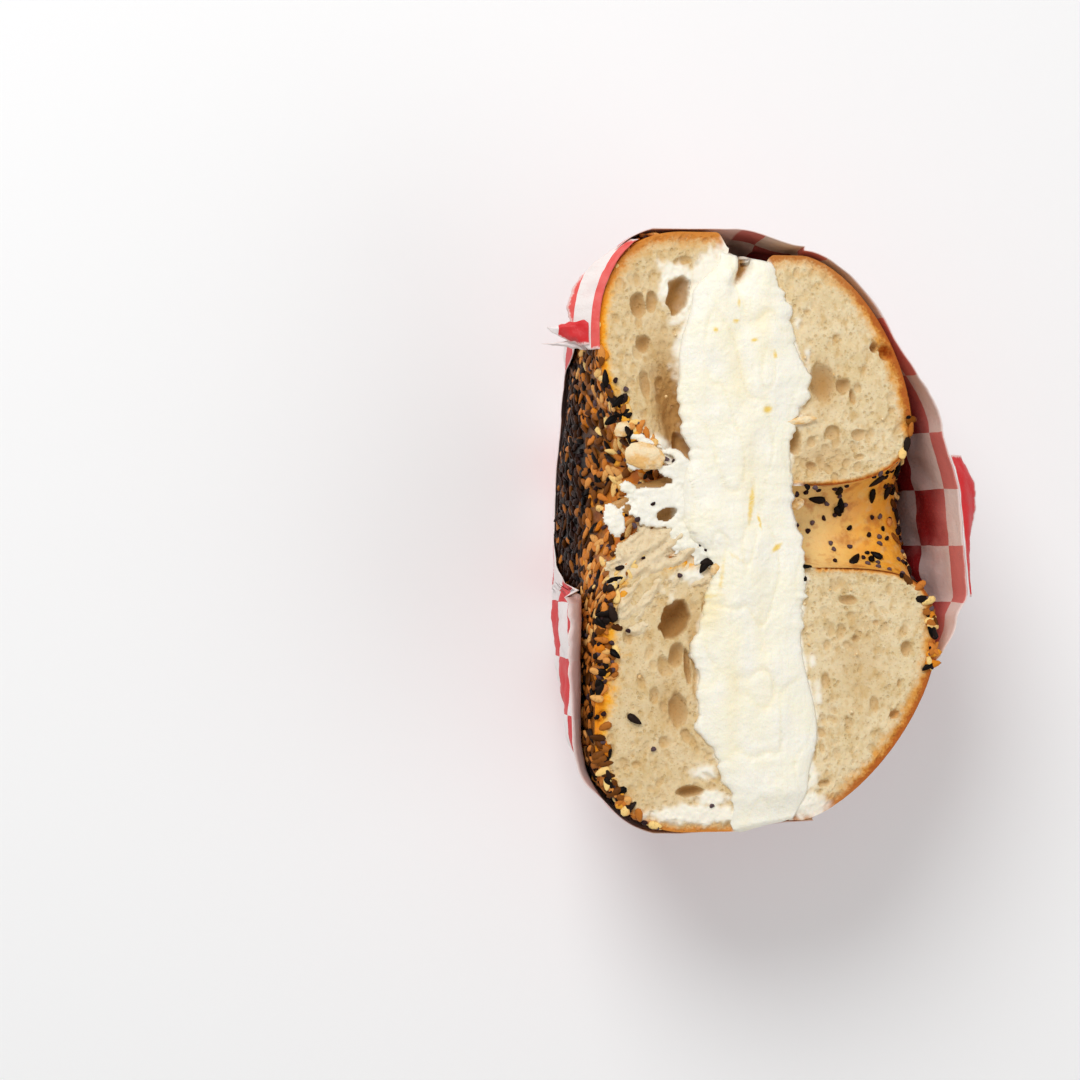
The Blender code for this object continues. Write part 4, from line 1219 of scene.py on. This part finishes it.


# %% [markdown]
# ## Cream cheese
#
# Dense, damp and a little translucent: a warm white with light scattered under its skin. Creases are painted
# creamier than crests, which is painted shade in them, and a few streaks are yellow. The saw's drag shows as
# hair-fine lines along Y.

# %% The filling's finish
def cheese_finish():
    f = Finish("Cream cheese", 0.5, 0.22, (1.0, 0.8, 0.6), 0.002)
    broad, fine = f.swell(6.0, 3.0), f.swell(0.7, 3.0)
    drag = f.swell(1.0, 2.0, stretch=(1.6, 0.09, 1.0))
    colour = f.blend(f.step(broad, 0.35, 0.7), CHEESE_TINT, tint(255, 247, 224))
    colour = f.blend(f.step(drag, 0.55, 0.8) * 0.25, colour, tint(252, 236, 200))
    # Creamier in the listed zones, and in the creases as painted shade.
    colour = f.blend(f.kept("cream") * (0.5 + fine * 0.4), colour, tint(252, 230, 176))
    colour = f.blend(f.step(f.kept("stain") + (fine - 0.5) * 0.4, 0.25, 0.8), colour, tint(200, 152, 88))
    streak = f.step(f.kept("streak") + (fine - 0.5) * 0.5, 0.2, 0.95)
    colour = f.blend(streak * 0.85, colour, tint(246, 204, 60))
    relief = fine * 0.5 + f.swell(1.8, 3.0) * 0.7 + drag * 0.25 + f.swell(0.25, 2.0) * 0.15
    return f.finish(colour, relief, 0.30, 0.40 + 0.2 * fine)


# %% [markdown]
# ## Printed paper
#
# The print lies on the outside. Through the thin sheet it shows on the inside, dusty and pale near the edge.
# Deeper down the inside is painted darker, which is painted shade, and the inside of the crown's wall is
# painted paler still, partly fading and partly painted light. Torn edges show white fibres, and one fold is
# worn to a paler print.

# %% Print, back and torn edge
CHECK = 11.0


def paper_finish(name, red, white, worn, strength, fade_and_light):
    """Checks of two colours. Each colour is a pair, near the torn edge and deep inside, where a darker deep
    colour is painted shade.
    """
    f = Finish(name, 0.5, 0.0)
    flat = f.node("ShaderNodeUVMap", {"uv_map": "print"})
    drift = f.node("ShaderNodeTexNoise", {}, {"Vector": flat, "Scale": 0.12}, "Color")
    wobble = f.node("ShaderNodeVectorMath", {"operation": "SCALE"}, {0: drift, "Scale": 0.9})
    flat = f.node("ShaderNodeVectorMath", {"operation": "ADD"}, {0: flat, 1: wobble})
    squares = {"Vector": flat, "Color1": (1, 1, 1, 1), "Color2": (0, 0, 0, 1), "Scale": 1 / CHECK}
    checks = f.node("ShaderNodeTexChecker", {}, squares, "Fac")
    fibres, clouds = f.swell(0.4, 4.0), f.swell(5.0, 3.0)
    # Deep inside the pouch the colours are painted darker: painted shade.
    toward_deep_shade = f.step(f.kept("from_edge"), 2.0, 15.0)
    colour = f.blend(checks, f.blend(toward_deep_shade, *white), f.blend(toward_deep_shade, *red))
    colour = f.blend(f.step(clouds, 0.45, 0.8) * strength, colour, worn)
    colour = f.blend(f.step(fibres, 0.55, 0.8) * 0.25, colour, worn)
    # The inside of the crown's wall and its torn edge are painted paler: partly fading, partly painted light.
    colour = f.blend(f.kept("faded") * fade_and_light, colour, tint(255, 226, 222))
    torn = 1 - f.step(f.kept("from_edge") + (fibres - 0.5) * 0.8, 0.15, 0.6)
    colour = f.blend(torn * 0.75, colour, tint(242, 226, 220))
    return f.finish(colour, fibres * 0.4 + f.swell(1.6, 4.0), 0.12, 0.42 + 0.2 * clouds)


RED, WHITE = tint(214, 18, 26), tint(240, 232, 230)
printed = paper_finish("Printed side", (RED, RED), (WHITE, WHITE), tint(222, 120, 120), 0.18, 0.0)
coral, bone = (tint(232, 84, 78),) * 2, (tint(240, 230, 226),) * 2
faded_print = paper_finish("Worn print", coral, bone, tint(232, 150, 144), 0.3, 0.0)
# The back's colours near the edge and deep inside; the darker deep ones are painted shade.
back_red_pale_and_shaded, back_white_pale_and_shaded = (tint(228, 130, 126), tint(138, 22, 26)), (tint(244, 226, 222), tint(200, 178, 176))
back = paper_finish("Back of the print", back_red_pale_and_shaded, back_white_pale_and_shaded, tint(214, 146, 142), 0.3, 0.85)
edge_red, edge_white = (tint(226, 160, 156),) * 2, (tint(240, 228, 222),) * 2
torn_edge = paper_finish("Torn paper edge", edge_red, edge_white, tint(240, 220, 214), 0.4, 0.6)


# %% [markdown]
# ## Seeds
#
# Each seed keeps a tone, so that a crown of them is as mixed as a real one: cream, gold, orange-brown and
# burned black. Low on the crown's side the tones are also made darker, which is painted shade.

# %% Seed finishes
def seed_finish(name, dark, middle, pale, roughness, bump_mm):
    f = Finish(name, roughness, shine=0.07)
    tone, fine = f.kept("tone"), f.swell(0.5, 3.0)
    colour = f.blend(f.step(tone, 0.0, 0.5), dark, middle)
    colour = f.blend(f.step(tone, 0.45, 0.95), colour, pale)
    colour = f.blend(f.step(fine, 0.5, 0.75) * 0.35, colour, dark)
    return f.finish(colour, fine, bump_mm)


# %% Give each piece its finishes
cheese_tone = cheese_finish()
FINISHES = [
    (crown, [crown_finish]),
    (base, [base_finish]),
    (torn_crumb, [crown_finish]),
    (cheese, [cheese_tone]),
    (cheese_sheet, [cheese_tone]),
    (bits, [crumb_finish("Torn crumb")]),
    (wrap, [printed, back, torn_edge]),
]
flap, worn_fold, low_curl, high_curl = layers
FINISHES += [(layer, [printed, printed, torn_edge]) for layer in (flap, low_curl, high_curl)]
FINISHES.append((worn_fold, [faded_print, faded_print, torn_edge]))
# Each kind's darkest tone, which on the crown's side also serves as painted shade, its middle and pale tone,
# its roughness and the depth of its relief
SEED_TONES = [
    (sesame, "White sesame", (34, 11, 3), (216, 130, 52), (252, 214, 136), 0.42, 0.06),
    (black_sesame, "Black sesame", (12, 8, 6), (26, 18, 14), (46, 32, 26), 0.45, 0.08),
    (poppy_seeds, "Poppy seed", (14, 8, 9), (52, 31, 32), (100, 80, 84), 0.45, 0.1),
    (onion_flakes, "Dried onion", (44, 17, 5), (218, 124, 24), (248, 178, 62), 0.3, 0.15),
]
for piece, name, darkest, middle, pale, roughness, relief_mm in SEED_TONES:
    made = seed_finish(name, tint(*darkest), tint(*middle), tint(*pale), roughness, relief_mm)
    FINISHES.append((piece, [made]))
for piece, finishes in FINISHES:
    for made in finishes:
        piece.data.materials.append(made)

# %% [markdown]
# ## Putting the pieces in the solids' place
#
# Every piece belongs to the one body of the part. Each names the solid that it stands for and the slot of the
# record whose finish it has.

# %% Ride and replace
STANDS_FOR = {
    "bagel_crown": ("crown_bread", [crown, torn_crumb, sesame, black_sesame, poppy_seeds, onion_flakes, bits]),
    "bagel_base": ("base_bread", [base]),
    "cream_cheese": ("filling", [cheese, cheese_sheet]),
    "paper_wrap": ("paper", [wrap, *layers]),
}
for node, (slot, pieces) in STANDS_FOR.items():
    for piece in pieces:
        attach(piece, "root")
        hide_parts(node)

# %% [markdown]
# ## Table, light and camera
#
# The photo looks nearly straight down from the crown's side, from about half a metre, in soft white light.

# %% A pale floor
def stage_floor():
    bm = bmesh.new()
    bmesh.ops.create_grid(bm, x_segments=1, y_segments=1, size=3.0)
    mesh = bpy.data.meshes.new("floor")
    bm.to_mesh(mesh)
    bm.free()
    floor = bpy.data.objects.new("floor", mesh)
    bpy.context.scene.collection.objects.link(floor)
    pale = Finish("Pale floor", 0.9)
    mesh.materials.append(pale.finish(tint(250, 250, 250)))


stage_floor()


# %% Soft studio light
def softbox(name, place, target, size, power):
    lamp = bpy.data.lights.new(name, "AREA")
    lamp.shape = "DISK"
    lamp.size = size
    lamp.energy = power
    obj = bpy.data.objects.new(name, lamp)
    obj.location = place
    obj.rotation_euler = (Vector(target) - Vector(place)).to_track_quat("-Z", "Y").to_euler()
    bpy.context.scene.collection.objects.link(obj)


softbox("key", (-0.35, 0.55, 0.75), (0, 0, 0.05), 0.5, 5.2)
softbox("fill", (0.75, -0.35, 0.7), (0, 0, 0.05), 0.9, 1.6)
world = bpy.data.worlds.new("Studio")
world.use_nodes = True
world.node_tree.nodes["Background"].inputs["Color"].default_value = (1.0, 1.0, 1.0, 1.0)
world.node_tree.nodes["Background"].inputs["Strength"].default_value = 0.5
bpy.context.scene.world = world
bpy.context.scene.view_settings.view_transform = "Standard"

# %% Camera
TILT = math.radians(9.5)
DISTANCE = 0.560
FOCAL_PIXELS = 2940
IMAGE_PIXELS = 1080
LOOKED_AT_PIXEL = (770, 532)
lens_data = bpy.data.cameras.new("photo camera")
lens_data.sensor_width = 36.0
lens_data.lens = FOCAL_PIXELS / IMAGE_PIXELS * lens_data.sensor_width
camera = bpy.data.objects.new("photo camera", lens_data)
ahead = Vector((math.sin(TILT), 0, -math.cos(TILT)))
right = Vector((math.cos(TILT), 0, math.sin(TILT)))
up = Vector((0, 1, 0))
looked_at = Vector((AXIS_X * MM, 0, CUT_HEIGHT * MM))
sideways = (LOOKED_AT_PIXEL[0] - IMAGE_PIXELS / 2) / FOCAL_PIXELS * DISTANCE
upwards = (IMAGE_PIXELS / 2 - LOOKED_AT_PIXEL[1]) / FOCAL_PIXELS * DISTANCE
position = looked_at - ahead * DISTANCE - right * sideways - up * upwards
turn = Matrix((right, up, -ahead)).transposed().to_4x4()
camera.matrix_world = Matrix.Translation(position) @ turn
bpy.context.scene.collection.objects.link(camera)
bpy.context.scene.camera = camera
print("camera at", [round(value, 3) for value in position])
